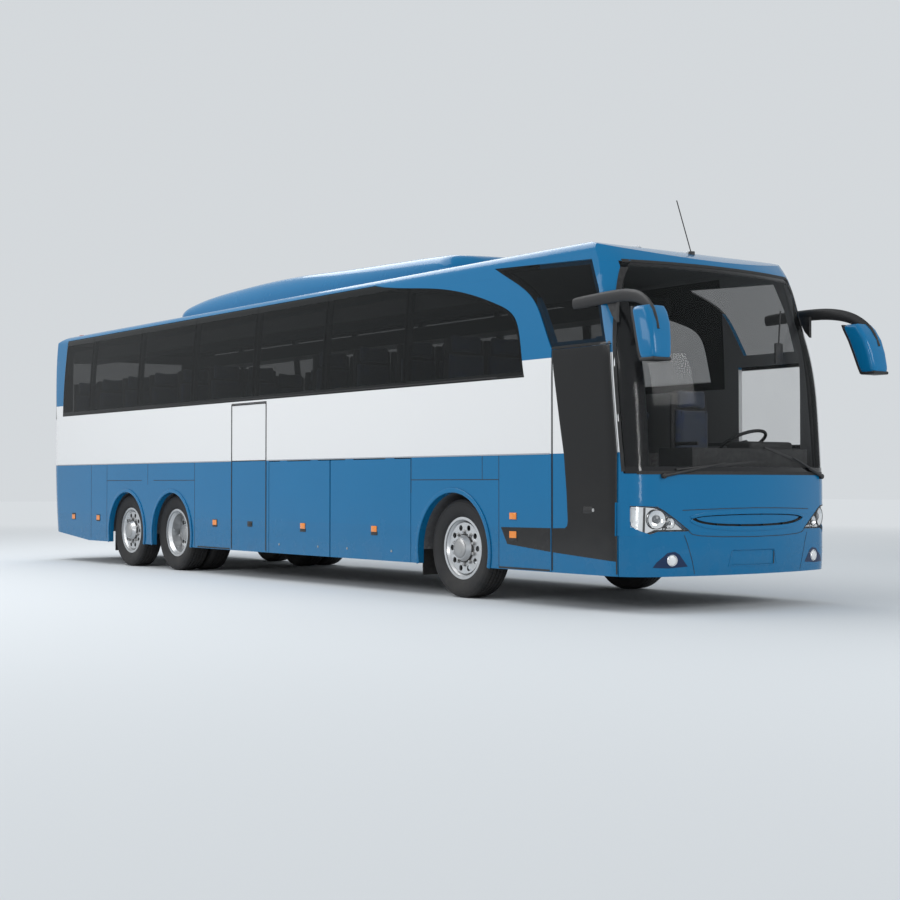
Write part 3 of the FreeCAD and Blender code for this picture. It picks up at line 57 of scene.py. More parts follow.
def pick(obj):
    deselectAll()
    obj.select_set(True)
    bpy.context.view_layer.objects.active = obj


def freeze(obj):  # the place goes into the mesh, the object ends at the origin
    pick(obj)
    bpy.ops.object.transform_apply(location=True, rotation=True, scale=True)


def applyModifiers(obj):
    pick(obj)
    for modifier in list(obj.modifiers):
        bpy.ops.object.modifier_apply(modifier=modifier.name)


def joinAll(pieces, name="joined"):
    deselectAll()
    for piece in pieces:
        piece.select_set(True)
    bpy.context.view_layer.objects.active = pieces[0]
    if len(pieces) > 1:
        bpy.ops.object.join()
    joined = bpy.context.object
    joined.name = name
    return joined


def editAll(obj, *acts):  # each act works on the whole mesh in edit mode
    pick(obj)
    bpy.ops.object.mode_set(mode="EDIT")
    for act in acts:
        bpy.ops.mesh.select_all(action="SELECT")
        act()
    bpy.ops.object.mode_set(mode="OBJECT")


def turnFacesOut():
    bpy.ops.mesh.normals_make_consistent(inside=False)


def outward(obj):  # faces of a closed shell point outwards
    editAll(obj, lambda: bpy.ops.mesh.remove_doubles(threshold=0.00005), turnFacesOut)


def bevelAll(obj, offset, segments=2):
    editAll(obj, lambda: bpy.ops.mesh.bevel(offset=offset, segments=segments, affect="EDGES"))


def softEdge(obj, width, segments, angle):  # a bevel on each edge that is sharper than the angle
    edge = obj.modifiers.new("edge", "BEVEL")
    edge.width = width
    edge.segments = segments
    edge.limit_method = "ANGLE"
    edge.angle_limit = math.radians(angle)
    applyModifiers(obj)


def standOn(obj, up, normal, spot):  # the piece's up way turns to the normal, and the piece goes to the spot
    obj.rotation_mode = "QUATERNION"
    obj.rotation_quaternion = Vector(up).rotation_difference(normal)
    obj.location = spot
    freeze(obj)


def hit(target, place, way):  # the spot and the normal where a ray meets the target
    _, spot, normal, _ = target.ray_cast(Vector(place), Vector(way))
    return spot, normal


def flipped(points, hand):  # an outline of the left side, or its mirror image for hand -1
    return [(hand * y, z) for y, z in points]


def rectangle(y1, y2, z1, z2):
    return [(y1, z1), (y2, z1), (y2, z2), (y1, z2)]


def finishPiece(obj, name, look, body, smooth):  # smooth is in degrees
    freeze(obj)
    if smooth:
        bpy.ops.object.shade_smooth_by_angle(angle=math.radians(smooth))
    obj.name = name
    obj.data.name = name
    obj.data.materials.clear()
    obj.data.materials.append(looks[look])
    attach(obj, body)
    return obj


def copyOf(obj):  # a copy with a mesh of its own
    twin = obj.copy()
    twin.data = obj.data.copy()
    scene.collection.objects.link(twin)
    return twin


def mirroredSide(obj):  # the same piece on the other side of the coach
    twin = copyOf(obj)
    pick(twin)
    twin.scale.y = -1
    bpy.ops.object.transform_apply(location=False, rotation=False, scale=True)
    editAll(twin, bpy.ops.mesh.flip_normals)
    return twin


def roundedBox(low, high, bevel=0.004, segments=2):
    bpy.ops.mesh.primitive_cube_add(size=1, location=[(a + b) / 2 for a, b in zip(low, high)])
    obj = bpy.context.object
    obj.scale = [b - a for a, b in zip(low, high)]
    bpy.ops.object.transform_apply(location=False, rotation=False, scale=True)
    bevelAll(obj, bevel, segments)
    freeze(obj)
    return obj


def puck(place, radius, depth, sides, turn=(math.pi / 2, 0, 0)):  # a short cylinder across the coach
    bpy.ops.mesh.primitive_cylinder_add(vertices=sides, radius=radius, depth=depth, location=place,
                                        rotation=turn)
    obj = bpy.context.object
    freeze(obj)
    return obj


def rod(start, end, radius, sides=12):
    start, end = Vector(start), Vector(end)
    way = end - start
    bpy.ops.mesh.primitive_cylinder_add(vertices=sides, radius=radius, depth=way.length,
                                        location=(start + end) / 2)
    obj = bpy.context.object
    obj.rotation_mode = "QUATERNION"
    obj.rotation_quaternion = way.to_track_quat("Z", "Y")
    freeze(obj)
    return obj


def vertexRun(points):  # one vertex is extruded along the points, and the run is left selected in edit mode
    bpy.ops.mesh.primitive_plane_add(size=0.01, location=(0, 0, 0))
    bpy.ops.object.mode_set(mode="EDIT")
    bpy.ops.mesh.select_all(action="SELECT")
    bpy.ops.mesh.merge(type="CENTER")
    bpy.ops.transform.translate(value=points[0])
    for before, after in zip(points, points[1:]):
        bpy.ops.mesh.extrude_region_move(TRANSFORM_OT_translate={"value": Vector(after) - Vector(before)})
    bpy.ops.mesh.select_all(action="SELECT")
    return bpy.context.object


def outlineFace(points):
    obj = vertexRun(points)
    bpy.ops.mesh.edge_face_add()
    bpy.ops.object.mode_set(mode="OBJECT")
    freeze(obj)
    return obj


def spinRound(obj, turns, weld):  # the profile of the edit mesh goes once round the Y axis
    bpy.ops.mesh.select_all(action="SELECT")
    bpy.ops.mesh.spin(steps=turns, angle=math.tau, center=(0, 0, 0), axis=(0, 1, 0))
    editAll(obj, lambda: bpy.ops.mesh.remove_doubles(threshold=weld), turnFacesOut)


def turnedRing(outline, name, sides=48, radius=1.0):  # an outline of radius and offset, spun about the Y axis
    obj = vertexRun([(max(radius * out, 0.0001), offset, 0) for out, offset in outline])
    spinRound(obj, sides, 0.0001)
    obj.name = name
    return obj


def gridCut(obj, axis, places):  # straight cuts through the piece, so that it can follow a curved skin
    normal = [0, 0, 0]
    normal[axis] = 1
    pick(obj)
    bpy.ops.object.mode_set(mode="EDIT")
    for place in places:
        spot = [0, 0, 0]
        spot[axis] = place
        bpy.ops.mesh.select_all(action="SELECT")
        bpy.ops.mesh.bisect(plane_co=spot, plane_no=normal)
    bpy.ops.object.mode_set(mode="OBJECT")


def steps(low, high, pitch):
    count = max(1, int((high - low) / pitch))
    return [low + (high - low) * (index + 1) / (count + 1) for index in range(count)]


def layOn(obj, target, axis, offset, sign=-1):  # press the piece onto a skin along one axis
    press = obj.modifiers.new("press", "SHRINKWRAP")
    press.target = target
    press.wrap_method = "PROJECT"
    press.use_project_x, press.use_project_y, press.use_project_z = (axis == n for n in range(3))
    press.use_negative_direction = sign < 0
    press.use_positive_direction = sign > 0
    press.offset = offset
    applyModifiers(obj)


def thicken(obj, depth, offset=1):
    shell = obj.modifiers.new("wall", "SOLIDIFY")
    shell.thickness = depth
    shell.offset = offset
    applyModifiers(obj)


def curvePoints(points, count=6):  # a smooth run through a few points
    run = [Vector(p) for p in points]
    ends = [run[0] * 2 - run[1]] + run + [run[-1] * 2 - run[-2]]
    smooth = []
    for index in range(1, len(ends) - 2):
        a, b, c, d = ends[index - 1:index + 3]
        for step in range(count):
            t = step / count
            smooth.append(0.5 * ((2 * b) + (c - a) * t + (2 * a - 5 * b + 4 * c - d) * t * t
                                 + (3 * b - a - 3 * c + d) * t ** 3))
    smooth.append(run[-1])
    return smooth


# stations of the coach, in metres

coach = {
    "frontAxle": 3.595,
    "driveAxle": -2.545,
    "tagAxle": -3.885,
    "axleHeight": 0.4825,
    "belt": 1.381,
    "bandTop": 2.245,
    "screenLean": 0.1024,
    "screenEdge": 6.0955,
    "screenFoot": 1.20,
    "screenTop": 3.062,
    "driverPane": 4.96,
    "skinFrom": 2.06,
    "skinTo": 3.16,
    "skinAt": 0.4,
    "skinSteps": 16,
    "skinFront": 4.80,
}


def ahead(station):  # a station measured forward from the front axle
    return coach["frontAxle"] + station


# shader groups shared by several finishes

def newGroup(name, inputs, outputs):
    group = bpy.data.node_groups.new(name, "ShaderNodeTree")
    for label, value in inputs:
        socket = group.interface.new_socket(label, in_out="INPUT", socket_type="NodeSocketFloat")
        socket.default_value = value
    for label in outputs:
        group.interface.new_socket(label, in_out="OUTPUT", socket_type="NodeSocketFloat")
    entry = group.nodes.new("NodeGroupInput")
    result = group.nodes.new("NodeGroupOutput")
    return group, entry, result


def mathNode(tree, operation, first, second=None, clamp=False):
    node = tree.nodes.new("ShaderNodeMath")
    node.operation = operation
    node.use_clamp = clamp
    for index, value in enumerate((first, second)):
        if value is None:
            continue
        if isinstance(value, (int, float)):
            node.inputs[index].default_value = value
        else:
            tree.links.new(value, node.inputs[index])
    return node.outputs[0]


def noiseNode(tree, vector, scale, detail=4, roughness=0.55):
    node = tree.nodes.new("ShaderNodeTexNoise")
    tree.links.new(vector, node.inputs["Vector"])
    if isinstance(scale, (int, float)):
        node.inputs["Scale"].default_value = scale
    else:
        tree.links.new(scale, node.inputs["Scale"])
    node.inputs["Detail"].default_value = detail
    node.inputs["Roughness"].default_value = roughness
    return node.outputs["Fac"]


def rangeNode(tree, value, low, high, outLow=0.0, outHigh=1.0):
    node = tree.nodes.new("ShaderNodeMapRange")
    for socket, entry in zip(("Value", "From Min", "From Max", "To Min", "To Max"),
                             (value, low, high, outLow, outHigh)):
        if isinstance(entry, (int, float)):
            node.inputs[socket].default_value = entry
        else:
            tree.links.new(entry, node.inputs[socket])
    return node.outputs[0]


def objectPlace(tree):  # object coordinates and their three parts
    place = tree.nodes.new("ShaderNodeTexCoord").outputs["Object"]
    parts = tree.nodes.new("ShaderNodeSeparateXYZ")
    tree.links.new(place, parts.inputs[0])
    return place, parts.outputs[0], parts.outputs[1], parts.outputs[2]


def dustGroup():  # road dust that thins out upwards, with splashes
    group, entry, result = newGroup("roadDust", (("Top", 1.0), ("Amount", 0.5)), ("Mask",))
    place, _, _, height = objectPlace(group)
    low = rangeNode(group, height, entry.outputs["Top"], 0.15)
    cloud = rangeNode(group, noiseNode(group, place, 5.0, 8, 0.65), 0.35, 0.75)
    both = mathNode(group, "MULTIPLY", mathNode(group, "POWER", low, 1.6), cloud)
    group.links.new(mathNode(group, "MULTIPLY", both, entry.outputs["Amount"], True), result.inputs["Mask"])
    return group


def grainGroup():  # fine moulded or cast grain
    group, entry, result = newGroup("surfaceGrain", (("Scale", 400.0), ("Spread", 0.5)),
                                    ("Height", "Variation"))
    place = objectPlace(group)[0]
    fine = noiseNode(group, place, entry.outputs["Scale"], 3, 0.6)
    broad = noiseNode(group, place, 2.5, 5, 0.6)
    group.links.new(fine, result.inputs["Height"])
    spread = mathNode(group, "MULTIPLY", mathNode(group, "SUBTRACT", broad, 0.5), entry.outputs["Spread"])
    group.links.new(spread, result.inputs["Variation"])
    return group


def wearGroup():  # rubbed edges, from the curvature of the mesh and a patchy cloud
    group, entry, result = newGroup("edgeWear", (("Amount", 0.5), ("Scale", 30.0)), ("Mask",))
    place = objectPlace(group)[0]
    edge = rangeNode(group, group.nodes.new("ShaderNodeNewGeometry").outputs["Pointiness"], 0.52, 0.6)
    cloud = rangeNode(group, noiseNode(group, place, entry.outputs["Scale"], 6, 0.7), 0.4, 0.65)
    both = mathNode(group, "MULTIPLY", edge, cloud)
    group.links.new(mathNode(group, "MULTIPLY", both, entry.outputs["Amount"], True), result.inputs["Mask"])
    return group


def liningGroup():  # 1 on the faces that look into the cabin, 0 on the outside
    group, entry, result = newGroup("liningSide", (("Middle", 1.75),), ("Mask",))
    geometry = group.nodes.new("ShaderNodeNewGeometry")
    parts = group.nodes.new("ShaderNodeSeparateXYZ")
    group.links.new(geometry.outputs["True Normal"], parts.inputs[0])
    _, along, across, height = objectPlace(group)
    nearest = mathNode(group, "MINIMUM", mathNode(group, "MAXIMUM", along, -5.6), 5.3)
    ends = mathNode(group, "SUBTRACT", along, nearest)
    total = mathNode(group, "MULTIPLY", ends, parts.outputs[0])
    total = mathNode(group, "ADD", total, mathNode(group, "MULTIPLY", across, parts.outputs[1]))
    rise = mathNode(group, "SUBTRACT", height, entry.outputs["Middle"])
    total = mathNode(group, "ADD", total, mathNode(group, "MULTIPLY", rise, parts.outputs[2]))
    group.links.new(rangeNode(group, total, -0.15, -0.25), result.inputs["Mask"])
    return group


groups = {"dust": dustGroup(), "grain": grainGroup(), "wear": wearGroup(), "lining": liningGroup()}


class Finish:  # one material and the nodes that most finishes share
    def __init__(self, name, color, roughness=0.5, metallic=0.0, coat=0.0, specular=0.5):
        self.material = bpy.data.materials.new(name)
        self.material.use_nodes = True
        self.tree = self.material.node_tree
        self.shader = self.tree.nodes["Principled BSDF"]
        self.shader.inputs["Metallic"].default_value = metallic
        self.shader.inputs["Specular IOR Level"].default_value = specular
        self.shader.inputs["Coat Roughness"].default_value = 0.04
        self.set("Coat Weight", coat)
        self.color = (*color, 1)
        self.roughness = roughness
        self.place, self.along, self.across, self.height = objectPlace(self.tree)

    def set(self, socket, value):
        if isinstance(value, (int, float, tuple)):
            self.shader.inputs[socket].default_value = value
        else:
            self.tree.links.new(value, self.shader.inputs[socket])

    def group(self, key, **values):
        node = self.tree.nodes.new("ShaderNodeGroup")
        node.node_tree = groups[key]
        for label, value in values.items():
            node.inputs[label].default_value = value
        return node.outputs

    def over(self, mask, color):  # another colour where the mask is 1
        node = self.tree.nodes.new("ShaderNodeMix")
        node.data_type = "RGBA"
        self.tree.links.new(mask, node.inputs["Factor"])
        if isinstance(self.color, tuple):
            node.inputs[6].default_value = self.color
        else:
            self.tree.links.new(self.color, node.inputs[6])
        node.inputs[7].default_value = (*color, 1)
        self.color = node.outputs[2]

    def roughen(self, mask, amount):
        added = mathNode(self.tree, "MULTIPLY", mask, amount)
        self.roughness = mathNode(self.tree, "ADD", added, self.roughness, True)

    def bump(self, height, strength, distance=0.001):
        node = self.tree.nodes.new("ShaderNodeBump")
        node.inputs["Strength"].default_value = strength
        node.inputs["Distance"].default_value = distance
        self.tree.links.new(height, node.inputs["Height"])
        self.tree.links.new(node.outputs[0], self.shader.inputs["Normal"])

    def uneven(self, scale, spread, amount):  # roughness that varies with a grain, whose height is given back
        noise = self.group("grain", Scale=scale, Spread=spread)
        self.roughen(noise["Variation"], amount)
        return noise["Height"]

    def dusty(self, top, amount):  # road dust below a height, its mask is given back
        mask = self.group("dust", Top=top, Amount=amount)["Mask"]
        self.over(mask, paint["dust"])
        return mask

    def between(self, value, low, high, blur=0.001):  # 1 between two limits
        start = rangeNode(self.tree, value, low - blur, low + blur)
        stop = rangeNode(self.tree, value, high + blur, high - blur)
        return mathNode(self.tree, "MULTIPLY", start, stop)

    def done(self):
        self.set("Base Color", self.color)
        self.set("Roughness", self.roughness)
        return self.material


paint = {
    "blue": (0.003, 0.132, 0.300),
    "lightBlue": (0.004, 0.150, 0.335),
    "white": (0.71, 0.715, 0.72),
    "frit": (0.006, 0.006, 0.007),
    "dust": (0.16, 0.14, 0.12),
    "lining": (0.14, 0.145, 0.15),
}


def skinDepths():  # half widths of the outer skin at a few heights, found on the wall and its glass
    wall = cadNodes["side_wall_right"]
    glass = cadNodes["side_glass_right"]
    depths = []
    for index in range(coach["skinSteps"] + 1):
        share = index / coach["skinSteps"]
        height = coach["skinFrom"] + share * (coach["skinTo"] - coach["skinFrom"])
        reach = []
        for node in (wall, glass):
            found, spot, _, _ = node.ray_cast(Vector((coach["skinAt"], -3.0, height)), Vector((0, 1, 0)))
            if found:
                reach.append(-spot.y)
        depths.append((share, max(reach)))
    return depths


def behindGlass(finish):  # 1 on the posts and frames that the side glass covers
    tree = finish.tree
    curve = tree.nodes.new("ShaderNodeFloatCurve")
    line = curve.mapping.curves[0]
    depths = skinDepths()
    line.points[0].location = (depths[0][0], depths[0][1] / 2)
    line.points[-1].location = (depths[-1][0], depths[-1][1] / 2)
    for share, depth in depths[1:-1]:
        line.points.new(share, depth / 2)
    for point in line.points:
        point.handle_type = "VECTOR"
    curve.mapping.update()
    tree.links.new(rangeNode(tree, finish.height, coach["skinFrom"], coach["skinTo"]), curve.inputs["Value"])
    skin = mathNode(tree, "MULTIPLY", curve.outputs[0], 2.0)
    deep = mathNode(tree, "SUBTRACT", skin, mathNode(tree, "ABSOLUTE", finish.across))
    mask = rangeNode(tree, deep, 0.003, 0.0035)
    mask = mathNode(tree, "MULTIPLY", mask, finish.between(finish.height, coach["skinFrom"], coach["skinTo"]))
    behind = rangeNode(tree, finish.along, coach["skinFront"] + 0.01, coach["skinFront"])
    return mathNode(tree, "MULTIPLY", mask, behind)


def blueBase(name):  # the blue paint, slightly lighter in patches
    finish = Finish(name, paint["blue"], roughness=0.26, coat=0.5, specular=0.12)
    finish.shader.inputs["Coat IOR"].default_value = 1.36
    patches = rangeNode(finish.tree, noiseNode(finish.tree, finish.place, 0.9, 3), 0.3, 0.7, 0.0, 0.4)
    finish.over(patches, paint["lightBlue"])
    return finish


def coachPaint(name, lined):
    finish = blueBase(name)
    tree = finish.tree
    finish.over(finish.between(finish.height, coach["belt"], coach["bandTop"]), paint["white"])
    dust = finish.dusty(1.0, 0.14)
    if lined:
        inside = finish.group("lining")["Mask"]
        finish.over(inside, paint["lining"])
        lean = mathNode(tree, "MULTIPLY", finish.height, coach["screenLean"])
        lean = mathNode(tree, "ADD", finish.along, lean)
        pillar = rangeNode(tree, lean, coach["screenEdge"], coach["screenEdge"] + 0.002)
        tall = finish.between(finish.height, coach["screenFoot"], coach["screenTop"])
        pillar = mathNode(tree, "MULTIPLY", pillar, tall)
        finish.over(pillar, paint["frit"])
        finish.over(behindGlass(finish), paint["frit"])
        finish.roughen(inside, 0.35)
        finish.set("Coat Weight", rangeNode(tree, inside, 0.0, 1.0, 0.5, 0.0))
    finish.roughen(dust, 0.45)
    finish.uneven(60, 0.12, 0.4)
    peel = mathNode(tree, "MULTIPLY", finish.group("grain", Scale=420)["Height"], 0.00004)
    crease = mathNode(tree, "MULTIPLY", rangeNode(tree, finish.height, 0.686, 0.25), 0.035)
    finish.bump(mathNode(tree, "SUBTRACT", peel, crease), 1.0, 1.0)
    return finish.done()


def mouldedBlack(name, tone=0.018, roughness=0.45, grain=700, dusty=0.25, specular=0.32):
    finish = Finish(name, (tone, tone, tone * 1.05), roughness=roughness, specular=specular)
    relief = finish.uneven(grain, 0.3, 0.5)
    dust = finish.dusty(1.4, dusty)
    finish.over(finish.group("wear", Amount=0.4)["Mask"], (tone * 4, tone * 4, tone * 4))
    finish.roughen(dust, 0.3)
    finish.bump(relief, 0.12, 0.0008)
    return finish.done()


def darkGlass():
    finish = Finish("tintedGlass", (0.004, 0.005, 0.005), roughness=0.03, specular=0.2)
    tree = finish.tree
    finish.material.blend_method = "BLEND"
    film = noiseNode(tree, finish.place, 1.3, 4)
    finish.roughen(rangeNode(tree, film, 0.4, 0.8), 0.04)
    upper = mathNode(tree, "MULTIPLY", finish.between(finish.height, 2.145, 3.12, 0.006), 0.50)
    cab = rangeNode(tree, finish.along, coach["driverPane"], coach["driverPane"] + 0.01)
    cab = mathNode(tree, "MULTIPLY", cab, rangeNode(tree, finish.across, 0.9, 0.95))
    pane = mathNode(tree, "MULTIPLY", cab, rangeNode(tree, finish.height, 2.30, 2.29))
    low = mathNode(tree, "MULTIPLY", finish.between(finish.height, 1.485, 2.235, 0.004), pane)
    through = mathNode(tree, "MAXIMUM", mathNode(tree, "MULTIPLY", low, 0.93),
                       mathNode(tree, "MULTIPLY", upper, mathNode(tree, "SUBTRACT", 1.0, pane)))
    finish.set("Alpha", mathNode(tree, "SUBTRACT", 1.0, through))
    finish.bump(noiseNode(tree, finish.place, 0.8, 2), 0.05, 0.003)
    return finish.done()


def screenGlass():
    finish = Finish("windscreenGlass", (0.018, 0.021, 0.021), roughness=0.02, specular=0.42)
    tree = finish.tree
    finish.material.blend_method = "BLEND"
    low = rangeNode(tree, finish.height, 1.262, 1.255)
    high = rangeNode(tree, finish.height, 3.0, 3.03)
    frit = mathNode(tree, "MAXIMUM", low, high)
    haze = noiseNode(tree, finish.place, 2.2, 5)
    base = rangeNode(tree, haze, 0.3, 0.8, 0.10, 0.13)
    finish.set("Alpha", mathNode(tree, "MAXIMUM", frit, base))
    finish.over(frit, paint["frit"])
    finish.bump(noiseNode(tree, finish.place, 0.7, 2), 0.03, 0.004)
    return finish.done()


def bareMetal(name, color, roughness, grain, dusty, metallic=1.0, top=1.0):
    finish = Finish(name, color, roughness=roughness, metallic=metallic)
    relief = finish.uneven(grain, 0.25, 0.6)
    dust = finish.dusty(top, dusty)
    finish.roughen(dust, 0.4)
    clean = mathNode(finish.tree, "SUBTRACT", 1.0, dust)
    finish.set("Metallic", mathNode(finish.tree, "MULTIPLY", clean, metallic))
    finish.bump(relief, 0.15, 0.0008)
    return finish.done()


def seatCloth():
    finish = Finish("seatCloth", (0.05, 0.06, 0.085), roughness=0.9, specular=0.2)
    tree = finish.tree
    finish.shader.inputs["Sheen Weight"].default_value = 0.25
    weave = tree.nodes.new("ShaderNodeTexWave")
    tree.links.new(finish.place, weave.inputs["Vector"])
    weave.inputs["Scale"].default_value = 160
    weave.inputs["Distortion"].default_value = 1.5
    cross = tree.nodes.new("ShaderNodeTexWave")
    cross.bands_direction = "Z"
    tree.links.new(finish.place, cross.inputs["Vector"])
    cross.inputs["Scale"].default_value = 160
    threads = mathNode(tree, "MULTIPLY", weave.outputs["Fac"], cross.outputs["Fac"])
    finish.over(rangeNode(tree, noiseNode(tree, finish.place, 9, 3), 0.5, 0.62), (0.035, 0.05, 0.10))
    finish.over(mathNode(tree, "MULTIPLY", threads, 0.4), (0.10, 0.115, 0.15))
    finish.bump(threads, 0.35, 0.001)
    return finish.done()


def clearLens(name, tone, alpha):
    finish = Finish(name, tone, roughness=0.03, specular=0.5)
    finish.material.blend_method = "BLEND"
    haze = noiseNode(finish.tree, finish.place, 6, 4)
    finish.set("Alpha", rangeNode(finish.tree, haze, 0.2, 0.8, alpha - 0.02, alpha + 0.03))
    finish.bump(noiseNode(finish.tree, finish.place, 30, 2), 0.02, 0.001)
    return finish.done()


def colouredLens(name, color, ribs=220):
    finish = Finish(name, color, roughness=0.12, coat=0.6)
    tree = finish.tree
    wave = tree.nodes.new("ShaderNodeTexWave")
    wave.bands_direction = "Z"
    tree.links.new(finish.place, wave.inputs["Vector"])
    wave.inputs["Scale"].default_value = ribs / 6
    shade = tuple(channel * 0.45 for channel in color)
    finish.over(rangeNode(tree, wave.outputs["Fac"], 0.5, 1.0, 0.0, 0.35), shade)
    finish.bump(wave.outputs["Fac"], 0.3, 0.001)
    finish.roughen(finish.group("grain", Scale=80)["Variation"], 0.2)
    return finish.done()


looks = {
    "paint": coachPaint("coachPaint", False),
    "linedPaint": coachPaint("coachPaintLined", True),
    "glassBlack": mouldedBlack("glossBlack", 0.007, 0.10, 90, dusty=0.10, specular=0.34),
    "plastic": mouldedBlack("blackPlastic", 0.017, 0.48, 700),
    "seal": mouldedBlack("sealRubber", 0.012, 0.6, 420),
    "trim": mouldedBlack("cabinTrim", 0.026, 0.6, 520, dusty=0.05),
    "tinted": darkGlass(),
    "screen": screenGlass(),
    "lens": clearLens("lampLens", (0.5, 0.52, 0.54), 0.07),
    "chrome": bareMetal("lampChrome", (0.90, 0.91, 0.92), 0.08, 40, 0.0),
    "amber": colouredLens("amberLens", (0.85, 0.24, 0.012)),
    "red": colouredLens("redLens", (0.42, 0.008, 0.008)),
    "whiteLens": colouredLens("whiteLens", (0.75, 0.77, 0.78), 300),
    "silver": bareMetal("wheelSilver", (0.60, 0.61, 0.62), 0.30, 300, 0.45, 0.85, 0.75),
    "steel": bareMetal("bareSteel", (0.42, 0.42, 0.42), 0.38, 500, 0.4),
    "frame": mouldedBlack("chassisCoating", 0.03, 0.7, 160, dusty=0.7),
    "cast": mouldedBlack("castIron", 0.06, 0.75, 120, dusty=0.7),
    "cloth": seatCloth(),
    "floor": mouldedBlack("vinylFloor", 0.09, 0.7, 90, dusty=0.0),
    "mirror": bareMetal("mirrorGlass", (0.75, 0.77, 0.78), 0.02, 30, 0.0),
}
print("finishes made:", len(looks))

cadLooks = {
    "linedPaint": ("side_wall_right", "side_wall_left", "roof_shell", "rear_wall", "front_mask",
                   "front_bumper", "rear_bumper"),
    "paint": ("roof_pod", "engine_lid", "flap_right_front", "flap_right_rear", "flap_left_front",
              "flap_left_rear", "front_door", "mid_door", "mirrors"),
    "tinted": ("side_glass_right", "side_glass_left", "rear_window"),
    "screen": ("windscreen",),
    "lens": ("front_lamps",),
    "red": ("tail_lamps",),
    "amber": ("side_markers",),
    "plastic": ("grille", "wipers", "antenna", "luggage_racks"),
    "trim": ("dashboard", "steering_wheel"),
    "cloth": ("seats",),
    "cast": ("engine_block", "front_axle", "rear_axles", "knuckle_right", "knuckle_left"),
    "frame": ("chassis_frame",),
    "steel": ("front_door_arm", "mid_door_arm"),
    "floor": ("cabin_floor",),
    "seal": ("mudflaps", "front_tyre_right", "front_tyre_left", "tag_tyre_right", "tag_tyre_left",
             "drive_tyres_right", "drive_tyres_left"),
    "silver": ("front_wheel_right", "front_wheel_left", "tag_wheel_right", "tag_wheel_left",
               "drive_wheels_right", "drive_wheels_left"),
}


def dressNodes():  # a finish, and smooth shading with sharp edges kept, on every CAD node
    for look, names in cadLooks.items():
        for name in names:
            node = cadNodes[name]
            node.data.materials.clear()
            node.data.materials.append(looks[look])
            for polygon in node.data.polygons:
                polygon.use_smooth = True
            weld = node.modifiers.new("weld", "WELD")
            weld.merge_threshold = 0.00002
            split = node.modifiers.new("split", "EDGE_SPLIT")
            split.split_angle = math.radians(28)
            even = node.modifiers.new("even", "WEIGHTED_NORMAL")
            even.keep_sharp = True


dressNodes()
print("CAD nodes dressed")


# a probe of the whole skin, that thin trim is pressed onto

def skinProbe():
    copies = []
    for name in ("side_wall_right", "side_wall_left", "roof_shell", "front_mask", "front_bumper", "rear_wall",
                 "rear_bumper", "front_door", "mid_door", "engine_lid", "side_glass_right", "side_glass_left",
                 "windscreen", "rear_window", "front_lamps", "flap_right_front", "flap_right_rear",
                 "flap_left_front", "flap_left_rear"):
        twin = copyOf(cadNodes[name])
        twin.modifiers.clear()
        twin.parent = None
        for key in list(twin.keys()):
            del twin[key]
        copies.append(twin)
    return joinAll(copies, "skinProbe")


probe = skinProbe()


def skinPlate(points, axis, side, thickness, pitch=0.12, lift=0.0, target=None):  # side is 1 or -1
    far = {0: 8.0, 1: 2.0}[axis] * side
    flat = [(far, a, b) if axis == 0 else (a, far, b) for a, b in points]
    obj = outlineFace(flat)
    first = [p[0] for p in points]
    second = [p[1] for p in points]
    gridCut(obj, 1 - axis, steps(min(first), max(first), pitch))
    gridCut(obj, 2, steps(min(second), max(second), pitch))
    layOn(obj, target or probe, axis, lift, sign=-side)
    floor = {0: 4.6, 1: 1.0}[axis]
    good = [v.co.copy() for v in obj.data.vertices if floor < v.co[axis] * side < abs(far) - 0.002]
    for vertex in obj.data.vertices:  # what falls beside the skin or into a gap takes its neighbour's depth
        at = vertex.co
        if not floor < at[axis] * side < abs(far) - 0.002:
            near = min(good, key=lambda spot: math.hypot(spot[1 - axis] - at[1 - axis], spot.z - at.z))
            at[axis] = near[axis]
    thicken(obj, thickness, offset=0)
    return obj


def sideStrip(x1, z1, x2, z2, width, side, thickness=0.0016, pitch=0.25, lift=0.0):  # a line on a side wall
    run = Vector((x2 - x1, z2 - z1))
    across = Vector((-run.y, run.x)).normalized() * width / 2
    points = [(x1 + across.x, z1 + across.y), (x2 + across.x, z2 + across.y),
              (x2 - across.x, z2 - across.y), (x1 - across.x, z1 - across.y)]
    return skinPlate(points, 1, side, thickness, pitch, lift)


# tyres

tyre = {
    "radius": 0.4825,
    "turns": 112,
    "groove": 0.009,
    "grooveWidth": 0.011,
    "grooves": (-0.066, -0.022, 0.022, 0.066),
    "treadFrom": 0.4765,
    "offsets": {"front": (1.07,), "tag": (1.07,), "drive": (1.06, 0.738)},
}


def tyreSection():  # half the outline as radius and offset, then grooves, then the other half
    side = [(0.300, 0.092), (0.3065, 0.1015), (0.313, 0.1085), (0.322, 0.1135), (0.3245, 0.1165),
            (0.345, 0.1255), (0.375, 0.1345), (0.405, 0.1375), (0.430, 0.1368), (0.4305, 0.1352),
            (0.4345, 0.1350), (0.435, 0.1362), (0.451, 0.1325), (0.4515, 0.1308), (0.462, 0.1262),
            (0.470, 0.1205), (0.4755, 0.1135), (0.4785, 0.104)]
    crown = []
    for middle in tyre["grooves"]:
        low, high = middle - tyre["grooveWidth"] / 2, middle + tyre["grooveWidth"] / 2
        top = tyre["radius"] - 0.0035 * (middle / 0.1) ** 2
        bottom = top - tyre["groove"]
        crown += [(top, low), (bottom, low + 0.0015), (bottom, high - 0.0015), (top, high)]
        if middle == -0.022:
            crown.append((tyre["radius"], 0.0))
    return [(r, -y) for r, y in side] + crown + [(r, y) for r, y in reversed(side)]


